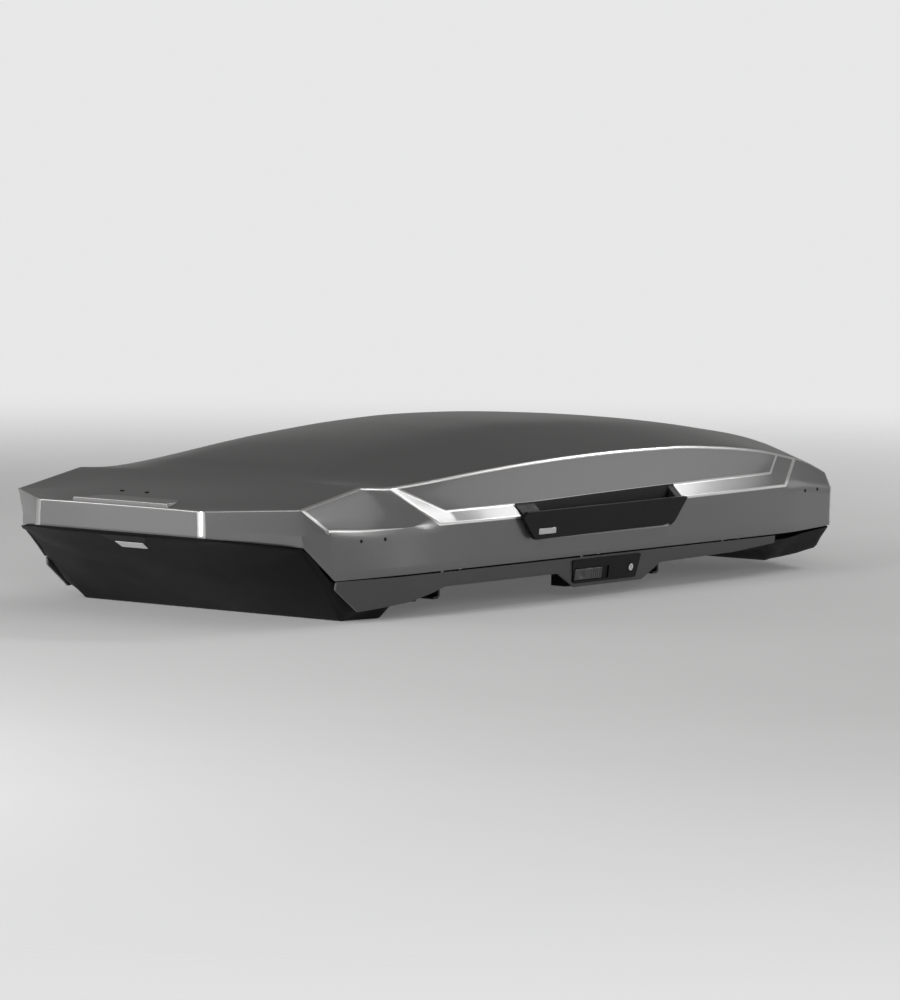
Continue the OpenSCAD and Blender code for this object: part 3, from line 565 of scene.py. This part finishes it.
# The hull's lines: RIM is the inner rim, PART the shelf under the lid's edge, LOW the bottom of the side
# and KEEL the edge of the underside. BASE_CUT gives the stations where the flat floor between the hulls
# starts and ends, and KEEL_PEAKS the ends of the tail's foot.
BASE_CUT = (462, 1740)
KEEL_PEAKS = (296, 400)
PART_X = line([(0, 215), (133, 368), (218, 376), (290, 384.5), (400, 398), (450, 403), (1800, 403),
               (2015, 385), (2060, 340), (2110, 265), (2150, 180), (2154, 150)], (133, 2015))
PART_Z = line([(0, 177.5), (133, 159.5), (218, 88), (290, 78), (1800, 78), (1900, 86), (2154, 98)],
              (133, 218))
RIM_X = line([(0, 209), (133, 364), (218, 371), (290, 380), (1800, 380), (1960, 372), (2015, 362),
              (2060, 318), (2110, 245), (2150, 163), (2154, 140)], (133,))
RIM_Z = line([(0, 186), (133, 172), (218, 120), (290, 112), (2154, 112)], (133, 218))
LOW_X = line([(0, 214), (133, 364), (218, 366), (296, 366), (437, 378), (462, 380), (562, 398), (1740, 398),
              (1760, 397), (1850, 368), (2007, 362), (2060, 310), (2110, 235), (2150, 160), (2154, 140)])
LOW_Z = line([(0, 177), (133, 156), (218, 82), (296, 24), (437, 36), (462, 40.8), (562, 60), (1740, 60),
              (1830, 36), (1990, 44), (2040, 74), (2154, 94)])
KEEL_X = line([(0, 212), (133, 358), (218, 352), (296, 338), (462, 366), (1740, 366), (1760, 366),
               (1850, 340), (2007, 325), (2060, 270), (2110, 190), (2154, 110)])
KEEL_Z = line([(0, 176), (133, 152), (218, 76), (296, 0), (400, 0), (462, 57), (1740, 57), (1810, 26),
               (1960, 30), (2030, 70), (2154, 93)], (133, 218, *KEEL_PEAKS, *BASE_CUT))
TAIL_TOP_Z = 176
TAIL_SLOPE = TAIL_TOP_Z / KEEL_PEAKS[0]         # the tail face runs straight down to the keel
BASE_T = 3.0

HULL_STEPS = (2, 1, 3, 3)                       # from corner to corner, rim to keel
FLOOR_STEPS = 10                                # from the keel to the middle
PART_ROW = sum(HULL_STEPS[:2])
KEEL_ROW = sum(HULL_STEPS)
ROOMY = (230, 2110)                             # nearer to the ends the rows are too close for a bevel


def hull_points(s):
    """The right half of a hull section, from the rim down to the middle of the underside, as (x, z)."""
    corners = [(RIM_X(s), RIM_Z(s)), (RIM_X(s), PART_Z(s)), (PART_X(s), PART_Z(s)), (LOW_X(s), LOW_Z(s)),
               (KEEL_X(s), KEEL_Z(s))]
    points = []
    for a, b, n in zip(corners, corners[1:], HULL_STEPS):
        points += [between(a, b, k / n) for k in range(n)]
    keel_x, keel_z = corners[-1]
    middle = max(0.0, TAIL_TOP_Z - TAIL_SLOPE * s) if s < KEEL_PEAKS[0] else keel_z
    shares = [1 - k / FLOOR_STEPS for k in range(FLOOR_STEPS + 1)]
    return points + [(keel_x * u, middle + (keel_z - middle) * u ** 3) for u in shares]


def build_hull(stations, closed_end):
    """A maker for one hull: the sections at the stations, closed by an end wall at its far end."""

    def make(bm):
        rings = []
        for s in stations:
            half = hull_points(s)
            ring = [(x, s, z) for x, z in half] + [(-x, s, z) for x, z in half[-2::-1]]
            rings.append([bm.verts.new(at(*p)) for p in ring])
        for a, b in zip(rings, rings[1:]):
            for k in range(len(a) - 1):
                bm.faces.new((a[k], a[k + 1], b[k + 1], b[k]))
        end = rings[0] if closed_end == "tail" else rings[-1]
        n = len(end)
        for k in range((n - 1) // 2):
            quad = (end[k], end[k + 1], end[n - 2 - k], end[n - 1 - k])
            # in the middle two of the corners are one vertex
            corners = list(dict.fromkeys(quad if closed_end == "nose" else reversed(quad)))
            bm.faces.new(corners)
        roomy = [ring for ring, s in zip(rings, stations) if ROOMY[0] <= s <= ROOMY[1]]
        for row, weight in ((PART_ROW, 0.25), (KEEL_ROW, 0.4)):
            mark_path(bm, [ring[row] for ring in roomy], weight)
            mark_path(bm, [ring[n - 1 - row] for ring in roomy], weight)
        for ring, s in zip(rings, stations):
            if s in KEEL_PEAKS:
                mark_path(bm, ring[KEEL_ROW:n - KEEL_ROW], 0.8)
        bm.normal_update()

    return make


TAIL_STATIONS = spread([7, 60, 133, 218, 260, 296, 340, 400, BASE_CUT[0]], [3, 5, 6, 3, 3, 3, 4, 5])
NOSE_STATIONS = spread([BASE_CUT[1], 1770, 1810, 1850, 1900, 1960, 1990, 2030, 2060, 2110, 2150, 2153],
                       [2, 3, 3, 3, 4, 2, 3, 3, 4, 4, 1])
tail_hull = piece("tail_hull", build_hull(TAIL_STATIONS, "tail"), "base_plastic", "base", "base_tail")
nose_hull = piece("nose_hull", build_hull(NOSE_STATIONS, "nose"), "base_plastic", "base", "base_nose")
for hull in (tail_hull, nose_hull):
    bevel(hull, 9.0, 3, by_weight=True)
    thicken(hull, BASE_T)
    steady_normals(hull)


# ---------------------------------------------------------------- sills

SILL_TOP = 89
SILL_SLOPE = 0.125                              # lean of the face, sideways per millimetre of height
SILL_T = 5.5
SILL_TOP_DROP = 4                               # of the top's inner edge
SILL_STEPS = 6                                  # up the outer face
# (station, height) corners of the lower edge, and the steps along each stretch of it
SILL_LOW = [(222, 72), (291, 23), (364, 28), (437, 34), (510, 47), (552, 58), (946, 58), (1009, 25),
            (1258, 25), (1321, 58), (1600, 62), (1760, 72)]
SILL_CUTS = [5, 5, 5, 5, 3, 16, 4, 10, 4, 12, 8]


def build_sill(sign):
    """A maker for one sill. Its top slopes inwards, to clear the edge of the open lid."""
    corners = [s for s, z in SILL_LOW]
    low_z = line(SILL_LOW, corners)

    def make(bm):
        sections = []
        for s in spread(corners, SILL_CUTS):
            high = (EDGE_X(s), SILL_TOP)
            low = (high[0] - SILL_SLOPE * (SILL_TOP - low_z(s)), low_z(s))
            section = [between(low, high, k / SILL_STEPS) for k in range(SILL_STEPS + 1)]
            section += [(high[0] - SILL_T, SILL_TOP - SILL_TOP_DROP), (low[0] - SILL_T, low[1])]
            sections.append([bm.verts.new(at(sign * x, s, z)) for x, z in section])
        n = len(sections[0])
        for a, b in zip(sections, sections[1:]):
            for k in range(n):
                m = (k + 1) % n
                bm.faces.new((a[k], b[k], b[m], a[m]))
        bm.faces.new(sections[0])
        bm.faces.new(sections[-1])
        bmesh.ops.recalc_face_normals(bm, faces=bm.faces)

    return make


for side_name, sign in SIDES:
    sill = piece(f"sill_{side_name}", build_sill(sign), "sill_plastic", "base", f"sill_trim_{side_name}")
    bevel(sill, 1.2, 2)
    steady_normals(sill)


# ---------------------------------------------------------------- outlines and solids


def leaning_frame(x, z, lean, sign):
    """A local frame on a leaning face of one side: X is out of the face, Y forwards and Z up it.

    lean is sideways millimetres per millimetre of height.
    """
    place = Matrix.Translation((x * MM, 0, z * MM)) @ Matrix.Rotation(math.atan(lean), 4, "Y")
    return Matrix.Diagonal((sign, 1, 1, 1)) @ place


def rounded(points, radius, steps=4):
    """A closed outline with each corner rounded by a short curve."""
    out = []
    n = len(points)
    for k in range(n):
        corner = Vector(points[k])
        before = Vector(points[k - 1]) - corner
        after = Vector(points[(k + 1) % n]) - corner
        r = min(radius, before.length / 2.2, after.length / 2.2)
        start, end = corner + before.normalized() * r, corner + after.normalized() * r
        for j in range(steps + 1):
            share = j / steps
            point = start * (1 - share) ** 2 + corner * 2 * share * (1 - share) + end * share * share
            out.append((point.x, point.y))
    return out


def extrude(bm, outline, place, depths):
    """A solid between two depths; place(a, b, depth) puts a point of the outline into the scene."""
    low, high = [[bm.verts.new(place(a, b, d)) for a, b in outline] for d in depths]
    bm.faces.new(low)
    bm.faces.new(list(reversed(high)))
    n = len(outline)
    for k in range(n):
        m = (k + 1) % n
        bm.faces.new((low[k], high[k], high[m], low[m]))


def prism(bm, outline, matrix, *depths):
    """Extrudes an outline in the local frame's Y and Z along its X."""
    extrude(bm, outline, lambda y, z, depth: to_scene(matrix, depth, y, z), depths)


def plate_with_window(bm, outer, window, matrix, *depths):
    """A plate with one window; both outlines have the same count of points and matching starts."""
    back, front = [[[bm.verts.new(to_scene(matrix, d, y, z)) for y, z in loop] for loop in (outer, window)]
                   for d in depths]
    n = len(outer)
    for k in range(n):
        m = (k + 1) % n
        bm.faces.new((back[0][k], back[0][m], back[1][m], back[1][k]))
        bm.faces.new((front[1][k], front[1][m], front[0][m], front[0][k]))
        bm.faces.new((back[0][k], front[0][k], front[0][m], back[0][m]))
        bm.faces.new((back[1][m], front[1][m], front[1][k], back[1][k]))


def solid_piece(name, makers, slot, body, *replaced, width=1.2, segments=2):
    """A piece of one or more closed solids with rounded edges."""

    def make(bm):
        for maker in makers:
            maker(bm)
        bmesh.ops.recalc_face_normals(bm, faces=bm.faces)

    obj = piece(name, make, slot, body, *replaced)
    bevel(obj, width, segments)
    steady_normals(obj)


def box_outline(y0, y1, z0, z1):
    """The corners of a rectangle."""
    return [(y0, z1), (y0, z0), (y1, z0), (y1, z1)]


# ---------------------------------------------------------------- lock plate

SIDE_X = 412
PLATE_S = (990, 1240)
PLATE_Z = (33, 84)
PLATE_T = 3
PLATE_SLANT = 12                                # each end leans in by this at the bottom
LATCH_S, LATCH_Z = 1050, 52
LATCH_HALF = (49, 12)
WINDOW_Y = (-51, 76)                            # from the latch's middle, with room for its travel
WINDOW_HALF_Z = 13.5
KEY_S, KEY_Z, KEY_R = 1206, 56, 8
COLLAR = 3.5                                    # width of the ring round the key


def face_frame(z, sign):
    """The local frame on the sill's face at a height."""
    return leaning_frame(SIDE_X - SILL_SLOPE * (SILL_TOP - z), z, SILL_SLOPE, sign)


def lock_bezel(side_name, sign):
    """The plate round the latch, the floor behind its window and the collar round the key."""
    mid = sum(PLATE_Z) / 2
    half = PLATE_Z[1] - mid
    matrix = face_frame(mid, sign)
    y0, y1 = y_of(PLATE_S[0]), y_of(PLATE_S[1])
    outer = rounded([(y0, half), (y0 + PLATE_SLANT, -half), (y1 - PLATE_SLANT, -half), (y1, half)], 6)
    wy0, wy1 = (y_of(LATCH_S) + y for y in WINDOW_Y)
    low, high = LATCH_Z - mid - WINDOW_HALF_Z, LATCH_Z - mid + WINDOW_HALF_Z
    window = rounded(box_outline(wy0, wy1, low, high), 3)
    floor = rounded(box_outline(wy0 - 2, wy1 + 2, low - 1.5, high + 1.5), 3)
    collar = circle(y_of(KEY_S), KEY_Z - mid, KEY_R + COLLAR, 32)
    solid_piece(
        f"lock_bezel_{side_name}",
        [lambda bm: plate_with_window(bm, outer, window, matrix, 0.1, PLATE_T),
         lambda bm: prism(bm, floor, matrix, -0.8, 0.05),
         lambda bm: prism(bm, collar, matrix, PLATE_T - 0.5, PLATE_T + 0.6)],
        "trim_plastic", "base", f"lock_plate_{side_name}", width=0.7)


for side_name, sign in SIDES:
    lock_bezel(side_name, sign)


# ---------------------------------------------------------------- grip

GRIP_X, GRIP_TOP_Z, GRIP_T, GRIP_LEAN = 427, 198, 8, 0.0625
GRIP_OUTLINE = [(785, 187), (799, 198), (1374, 200), (1384, 198), (1337, 144), (832, 138)]
BLANK_S = (842, 902)
BLANK_Z = (149, 161)
LINER_T = 1.6
LINER_TOP = (427.5, 196.5)                      # half width and height, as in the two lines below
LINER_LIP = (422.4, 149)                        # where it follows the pocket
LINER_HEEL = (405, 152.5)
LINER_HEEL_X = 403.5                            # where it follows the ledge
LINER_RAMP = 4                                  # the change between the two, each way from the pocket's end


def liner_section(s):
    """The liner's section behind the grip's plate, from its top by the pocket to the panel."""
    lip, heel = LINER_LIP, LINER_HEEL
    if s <= POCKET[0] - LINER_RAMP or s >= POCKET[1] + LINER_RAMP:
        lip, heel = (lip[0], WIDE_Z(s) + 3), (LINER_HEEL_X, STEP_Z(s) - 6)
    return [LINER_TOP, lip, heel, (400.6, STEP_Z(s) - 2), (398.8, STEP_Z(s) + 2)]


def build_liner(sign):
    """A maker for the liner, a thin skin over the ledge and down into the pocket."""
    ramps = [end + ramp for end in POCKET for ramp in (-LINER_RAMP, LINER_RAMP)]
    stations = spread([800, 860, *ramps, 1362, 1376], [4, 1, 1, 20, 1, 1, 1])

    def make(bm):
        rows = [[bm.verts.new(at(sign * x, s, z)) for x, z in liner_section(s)] for s in stations]
        for a, b in zip(rows, rows[1:]):
            for k in range(len(a) - 1):
                quad = (a[k], a[k + 1], b[k + 1], b[k])
                bm.faces.new(quad if sign > 0 else tuple(reversed(quad)))
        bm.normal_update()

    return make


for side_name, sign in SIDES:
    grip_frame = leaning_frame(GRIP_X, GRIP_TOP_Z, GRIP_LEAN, sign)
    outline = rounded([(y_of(s), z - GRIP_TOP_Z) for s, z in GRIP_OUTLINE], 5)
    solid_piece(f"grip_{side_name}", [lambda bm: prism(bm, outline, grip_frame, 0, GRIP_T)],
                "trim_plastic", "lid", f"handle_{side_name}", width=2.4, segments=3)
    liner = piece(f"grip_liner_{side_name}", build_liner(sign), "trim_plastic", "lid",
                  f"grip_tray_{side_name}")
    thicken(liner, LINER_T)
    bevel(liner, 0.6, 2)
    steady_normals(liner)
    blank = rounded([(y_of(s), z - GRIP_TOP_Z) for s, z in box_outline(*BLANK_S, *BLANK_Z)], 2)
    solid_piece(f"grip_badge_{side_name}",
                [lambda bm: prism(bm, blank, grip_frame, GRIP_T - 0.3, GRIP_T + 1.1)],
                "badge_plastic", "lid", f"handle_badge_{side_name}", width=0.5)


# ---------------------------------------------------------------- slide latch and key

LATCH_RISE = 1.8                                # of the slide's face over the plate
LATCH_T = 5.5                                   # of the slide at its rim
LATCH_STEPS = (98, 16)                          # of the face's grid, along and up
DISH_Y, DISH_R, DISH_DEEP = -24, 11, 2.2        # thumb dish, from the latch's middle
GROOVES = range(8, 41, 8)                       # grip grooves, from the latch's middle
GROOVE_WIDE, GROOVE_HALF, GROOVE_DEEP = 2, 10, 1.0
EDGE_ROUND, EDGE_DROP = 2.0, 1.2                # width and drop of the face's rounded rim
KEYWAY_HALF = (0.9, 4.5)
BARREL = 16                                     # depth of the cylinder behind the sill's face
CAM_Y = (-12, 4)                                # from the key's middle
CAM_HALF_Z, CAM_T = 4, 2.9


def latch_depth(y, z):
    """How far the slide's face stands out of the sill, with y and z from its middle."""
    depth = PLATE_T + LATCH_RISE
    dish = math.hypot(y - DISH_Y, z) / DISH_R
    if dish < 1:
        depth -= DISH_DEEP * (1 - dish ** 2)
    for groove in GROOVES:
        if groove <= y <= groove + GROOVE_WIDE and abs(z) < GROOVE_HALF:
            depth -= GROOVE_DEEP
    edge = min(LATCH_HALF[0] - abs(y), LATCH_HALF[1] - abs(z))
    return depth - EDGE_DROP * max(0.0, 1 - edge / EDGE_ROUND) ** 2


def build_latch(sign):
    """A maker for the slide: its face as a fine grid, and a plain back."""
    matrix = face_frame(LATCH_Z, sign)
    steps_y, steps_z = LATCH_STEPS

    def make(bm):
        grid = []
        for i in range(steps_y + 1):
            y = LATCH_HALF[0] * (2 * i / steps_y - 1)
            heights = [LATCH_HALF[1] * (2 * j / steps_z - 1) for j in range(steps_z + 1)]
            grid.append([bm.verts.new(to_scene(matrix, latch_depth(y, z), y_of(LATCH_S) + y, z))
                         for z in heights])
        for a, b in zip(grid, grid[1:]):
            for j in range(steps_z):
                bm.faces.new((a[j], b[j], b[j + 1], a[j + 1]))
        rim = [column[0] for column in grid] + grid[-1][1:] + [column[-1] for column in grid[-2::-1]]
        rim += grid[0][-2:0:-1]
        inward = matrix.to_3x3() @ Vector((-1, 0, 0)) * LATCH_T * MM
        back = [bm.verts.new(v.co + inward) for v in rim]
        for k in range(len(rim)):
            m = (k + 1) % len(rim)
            bm.faces.new((rim[k], back[k], back[m], rim[m]))
        bm.faces.new(back)
        bmesh.ops.recalc_face_normals(bm, faces=bm.faces)

    return make


def key_face(side_name, sign):
    """The cylinder's face with its keyway, the barrel behind it and the cam at the barrel's end."""
    matrix = face_frame(KEY_Z, sign)
    y = y_of(KEY_S)
    rim = circle(y, 0, KEY_R - 0.3, 32)
    half_y, half_z = KEYWAY_HALF
    right, left = y + half_y, y - half_y
    keyway = rounded([(right, -half_z), (right, half_z), (left, half_z), (left, -half_z)], 0.8, 7)
    cam = box_outline(y + CAM_Y[0], y + CAM_Y[1], -CAM_HALF_Z, CAM_HALF_Z)
    solid_piece(f"key_face_{side_name}",
                [lambda bm: plate_with_window(bm, rim, keyway, matrix, PLATE_T - 3, PLATE_T + 0.9),
                 lambda bm: prism(bm, rim, matrix, -BARREL, PLATE_T - 3.1),
                 lambda bm: prism(bm, cam, matrix, -BARREL - 0.1 - CAM_T, -BARREL - 0.1)],
                "chrome", f"key_{side_name}", f"key_cylinder_{side_name}", width=0.4)


for side_name, sign in SIDES:
    latch = piece(f"latch_slide_{side_name}", build_latch(sign), "latch_plastic", f"latch_{side_name}",
                  f"slide_latch_{side_name}")
    steady_normals(latch)
    key_face(side_name, sign)


# ---------------------------------------------------------------- rivets

SIDE_RIVETS = ((287, 167), (357, 167), (1887, 181), (1946, 181))        # station and height
SIDE_HEAD = (4, 1.6)                            # radius and height
DECK_RIVETS_X = (-93, -27)
DECK_RIVETS_S = 122
DECK_HEAD = (5, 1.8)


def turned(bm, matrix, profile, n=24):
    """A turned shape about the frame's Z from (radius, height) pairs, ending on the axis."""
    rings = [[bm.verts.new(to_scene(matrix, x, y, z)) for x, y in circle(0, 0, r, n)]
             for r, z in profile[:-1]]
    tip = bm.verts.new(to_scene(matrix, 0, 0, profile[-1][1]))
    for a, b in zip(rings, rings[1:]):
        for k in range(n):
            m = (k + 1) % n
            bm.faces.new((a[k], a[m], b[m], b[k]))
    for k in range(n):
        bm.faces.new((rings[-1][k], rings[-1][(k + 1) % n], tip))
    bm.faces.new(list(reversed(rings[0])))


def rivet_head(r, h):
    """A low dome's profile, from a little below the surface."""
    return [(r, -0.8), (r, 0.25 * h), (0.86 * r, 0.7 * h), (0.5 * r, 0.95 * h), (0, h)]


def build_rivets(bm):
    for s, z in SIDE_RIVETS:
        share = (z - EDGE_Z(s)) / (WIDE_Z(s) - EDGE_Z(s))
        x = EDGE_X(s) + (WIDE_X(s) - EDGE_X(s)) * share
        for _, sign in SIDES:
            place = Matrix.Translation(at(sign * x, s, z)) @ Matrix.Rotation(sign * math.pi / 2, 4, "Y")
            turned(bm, place, rivet_head(*SIDE_HEAD))
    for x in DECK_RIVETS_X:
        place = Matrix.Translation(at(x, DECK_RIVETS_S, deck_z(x, DECK_RIVETS_S)))
        turned(bm, place, rivet_head(*DECK_HEAD))
    bmesh.ops.recalc_face_normals(bm, faces=bm.faces)


steady_normals(piece("lid_rivet_heads", build_rivets, "trim_plastic", "lid", "lid_rivets"))


# ---------------------------------------------------------------- tail panel and blank plate

TAIL_FRAME = Matrix.Translation(at(0, 0, TAIL_TOP_Z)) @ Matrix.Rotation(-math.atan(TAIL_SLOPE), 4, "X")


def tail_solid(name, outline, radius, height, slot, *replaced):
    """A raised plate on the tail face; its outline is across and down the slope."""
    points = rounded(outline, radius)

    def make(bm):
        extrude(bm, points, lambda x, down, depth: to_scene(TAIL_FRAME, x, down, -depth), (-1.0, height))

    solid_piece(name, [make], slot, "base", *replaced, width=0.6)


tail_solid("tail_trim", [(-58, 10), (66, 10), (46, 36), (-44, 36)], 3, 0.8, "trim_plastic")
tail_solid("tail_badge", [(-37, 40), (37, 40), (34, 64), (-34, 64)], 2, 1.0, "badge_plastic", "badge_plate")


# ---------------------------------------------------------------- clamp knobs

KNOB_LOW_Z, KNOB_Z0, KNOB_Z1 = 84.1, 91.1, 111  # foot of the stem, then the knob's underside and top
KNOB_POINTS = 96
KNOB_R, LOBE = 27.4, 2.4
STEM = 6 / 29                                   # of the knob's outline
# each level is a share of the knob's outline and a height, from the stem up and into the dished top
KNOB_LEVELS = [(STEM, KNOB_LOW_Z), (STEM, KNOB_Z0), (0.9, KNOB_Z0), (1.0, KNOB_Z0 + 2.5),
               (1.0, KNOB_Z1 - 4), (0.93, KNOB_Z1 - 1), (0.84, KNOB_Z1), (0.6, KNOB_Z1),
               (0.55, KNOB_Z1 - 2), (0.2, KNOB_Z1 - 2)]


def knob_outline(cx, cy, share):
    """Six soft lobes round a centre."""
    waves = [math.cos(12 * math.pi * k / KNOB_POINTS + math.pi) for k in range(KNOB_POINTS)]
    return circle(cx, cy, [share * (KNOB_R + LOBE * wave) for wave in waves], KNOB_POINTS)


def build_knob(x, y):
    """A maker for one knob, given the place of its axis in millimetres."""

    def make(bm):
        rings = [[bm.verts.new(Vector((px, py, z)) * MM) for px, py in knob_outline(x, y, share)]
                 for share, z in KNOB_LEVELS]
        for a, b in zip(rings, rings[1:]):
            for k in range(KNOB_POINTS):
                m = (k + 1) % KNOB_POINTS
                bm.faces.new((a[k], a[m], b[m], b[k]))
        bm.faces.new(list(reversed(rings[0])))
        bm.faces.new(rings[-1])

    return make


for end in ("rear", "front"):
    for side_name, sign in SIDES:
        node = f"clamp_knob_{end}_{side_name}"
        low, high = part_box(node)
        centre = (low + high) / 2 / MM
        knob = piece(f"knob_{end}_{side_name}", build_knob(centre.x, centre.y), "knob_plastic",
                     f"knob_{end}_{side_name}", node)
        bevel(knob, 0.8, 2, angle=40.0)
        steady_normals(knob)


# ---------------------------------------------------------------- floor, camera and light

BACKDROP = (0.80, 0.80, 0.805)
FLOOR_RINGS = (1.5, 3, 5, 8, 12)                # radii in metres
FLOOR_FADE = (2.0, 6.5)                         # metres from the middle
# the surround's strength falls over a range of how steeply a direction points up
SURROUND_UP = (0.1, 0.32)
SURROUND_STRENGTH = (0.24, 0.155)


def staged_floor():
    """A pale round floor whose rim fades into the backdrop."""
    bm = bmesh.new()
    n = 96
    rings = [[bm.verts.new((x, y, 0)) for x, y in circle(0, 0, r, n)] for r in FLOOR_RINGS]
    bm.faces.new(rings[0])
    for a, b in zip(rings, rings[1:]):
        for k in range(n):
            m = (k + 1) % n
            bm.faces.new((a[k], b[k], b[m], a[m]))
    mesh = bpy.data.meshes.new("floor")
    bm.to_mesh(mesh)
    bm.free()
    obj = bpy.data.objects.new("floor", mesh)
    bpy.context.scene.collection.objects.link(obj)
    mesh.materials.append(floor_material())


def floor_material():
    material, tree, shader = new_material("floor", (0.9, 0.9, 0.9), 0.9, specular=0.1)
    tree.links.new(ramp(tree, noise(tree, 2.0), 0.89, 0.91), shader.inputs["Base Color"])
    shader.inputs["Emission Color"].default_value = (0.9, 0.9, 0.9, 1)
    shader.inputs["Emission Strength"].default_value = 0.12
    coords = tree.nodes.new("ShaderNodeTexCoord")
    length = tree.nodes.new("ShaderNodeVectorMath")
    length.operation = "LENGTH"
    fade = smooth_range(tree, FLOOR_FADE, (0.0, 1.0))
    clear = tree.nodes.new("ShaderNodeBsdfTransparent")
    mix = tree.nodes.new("ShaderNodeMixShader")
    tree.links.new(coords.outputs["Object"], length.inputs[0])
    tree.links.new(length.outputs["Value"], fade.inputs["Value"])
    tree.links.new(fade.outputs["Result"], mix.inputs["Fac"])
    tree.links.new(shader.outputs["BSDF"], mix.inputs[1])
    tree.links.new(clear.outputs["BSDF"], mix.inputs[2])
    tree.links.new(mix.outputs["Shader"], tree.nodes["Material Output"].inputs["Surface"])
    return material


def smooth_range(tree, source, target):
    """A node that turns one range of values into another, with soft ends."""
    node = tree.nodes.new("ShaderNodeMapRange")
    node.interpolation_type = "SMOOTHSTEP"
    node.inputs["From Min"].default_value, node.inputs["From Max"].default_value = source
    node.inputs["To Min"].default_value, node.inputs["To Max"].default_value = target
    return node


def area_light(name, where, size, power, roll):
    """A rectangular soft light, width by height in metres, aimed at the box."""
    data = bpy.data.lights.new(name, "AREA")
    data.shape = "RECTANGLE"
    data.size, data.size_y = size
    data.energy = power
    obj = bpy.data.objects.new(name, data)
    bpy.context.scene.collection.objects.link(obj)
    obj.location = where
    aim = (MIDDLE - Vector(where)).to_track_quat("-Z", "Y")
    turn = aim @ Matrix.Rotation(math.radians(roll), 3, "Z").to_quaternion()
    obj.rotation_euler = turn.to_euler()


# The photo's camera, in metres. LEVEL_AIM and LEVEL_UP give the roll, which the final aim keeps.
EYE = Vector((7.2145, -9.552, 1.157))
LEVEL_AIM = Vector((-0.5828, 0.7967, -0.1603)).normalized()
LEVEL_UP = Vector((-0.1073, 0.1201, 0.9870)).normalized()
AIM_SHIFT = Vector((0.02, 0.0, 0.0))
LENS = 200.0


def make_camera():
    centre = (cad_bounds[0] + cad_bounds[1]) / 2
    aim = (centre + AIM_SHIFT - EYE).normalized()
    up = LEVEL_AIM.rotation_difference(aim) @ LEVEL_UP
    right = aim.cross(up).normalized()
    up = right.cross(aim)
    data = bpy.data.cameras.new("camera")
    data.sensor_width = 36.0
    data.lens = LENS
    data.clip_end = 100.0
    obj = bpy.data.objects.new("camera", data)
    bpy.context.scene.collection.objects.link(obj)
    rotation = Matrix((right, up, -aim)).transposed()
    obj.matrix_world = Matrix.Translation(EYE) @ rotation.to_4x4()
    bpy.context.scene.camera = obj


def make_world():
    """A pale backdrop for the eye; light and reflections get a dim surround, dimmest overhead."""
    world = bpy.data.worlds.new("studio")
    world.use_nodes = True
    tree = world.node_tree
    seen = tree.nodes["Background"]
    seen.inputs["Color"].default_value = (*BACKDROP, 1)
    surround = tree.nodes.new("ShaderNodeBackground")
    surround.inputs["Color"].default_value = (1.0, 0.99, 0.98, 1)
    coords = tree.nodes.new("ShaderNodeTexCoord")
    split = tree.nodes.new("ShaderNodeSeparateXYZ")
    height = smooth_range(tree, SURROUND_UP, SURROUND_STRENGTH)
    tree.links.new(coords.outputs["Generated"], split.inputs["Vector"])
    tree.links.new(split.outputs["Z"], height.inputs["Value"])
    tree.links.new(height.outputs["Result"], surround.inputs["Strength"])
    path = tree.nodes.new("ShaderNodeLightPath")
    mix = tree.nodes.new("ShaderNodeMixShader")
    tree.links.new(path.outputs["Is Camera Ray"], mix.inputs["Fac"])
    tree.links.new(surround.outputs["Background"], mix.inputs[1])
    tree.links.new(seen.outputs["Background"], mix.inputs[2])
    tree.links.new(mix.outputs["Shader"], tree.nodes["World Output"].inputs["Surface"])
    bpy.context.scene.world = world
    bpy.context.scene.view_settings.view_transform = "Standard"


staged_floor()
make_world()
MIDDLE = Vector((0, 0, 0.2))
# name, place, width by height, watts and roll; each one is what some of the faces reflect to the camera
LIGHTS = (
    ("over_nose", (1.15, 4.05, 3.1), (0.6, 2.4), 46, 108),      # ledges and bevels
    ("right", (5.4, 7.2, 1.9), (6.0, 3.0), 60, 0),              # sides and the recessed panel
    ("edge", (4.7, 3.6, 0.75), (0.2, 1.2), 14, 0),              # outline of the leaf
    ("tail", (0.1, -5.2, 0.9), (0.6, 1.8), 120, 0),             # tail's folded edge
    ("tail_left", (-4.0, -5.0, 1.4), (3.0, 2.0), 80, 0),        # tail band
    ("key", (6.0, -6.5, 2.6), (2.5, 2.0), 90, 0),               # everything towards the camera
)
for light in LIGHTS:
    area_light(*light)
make_camera()
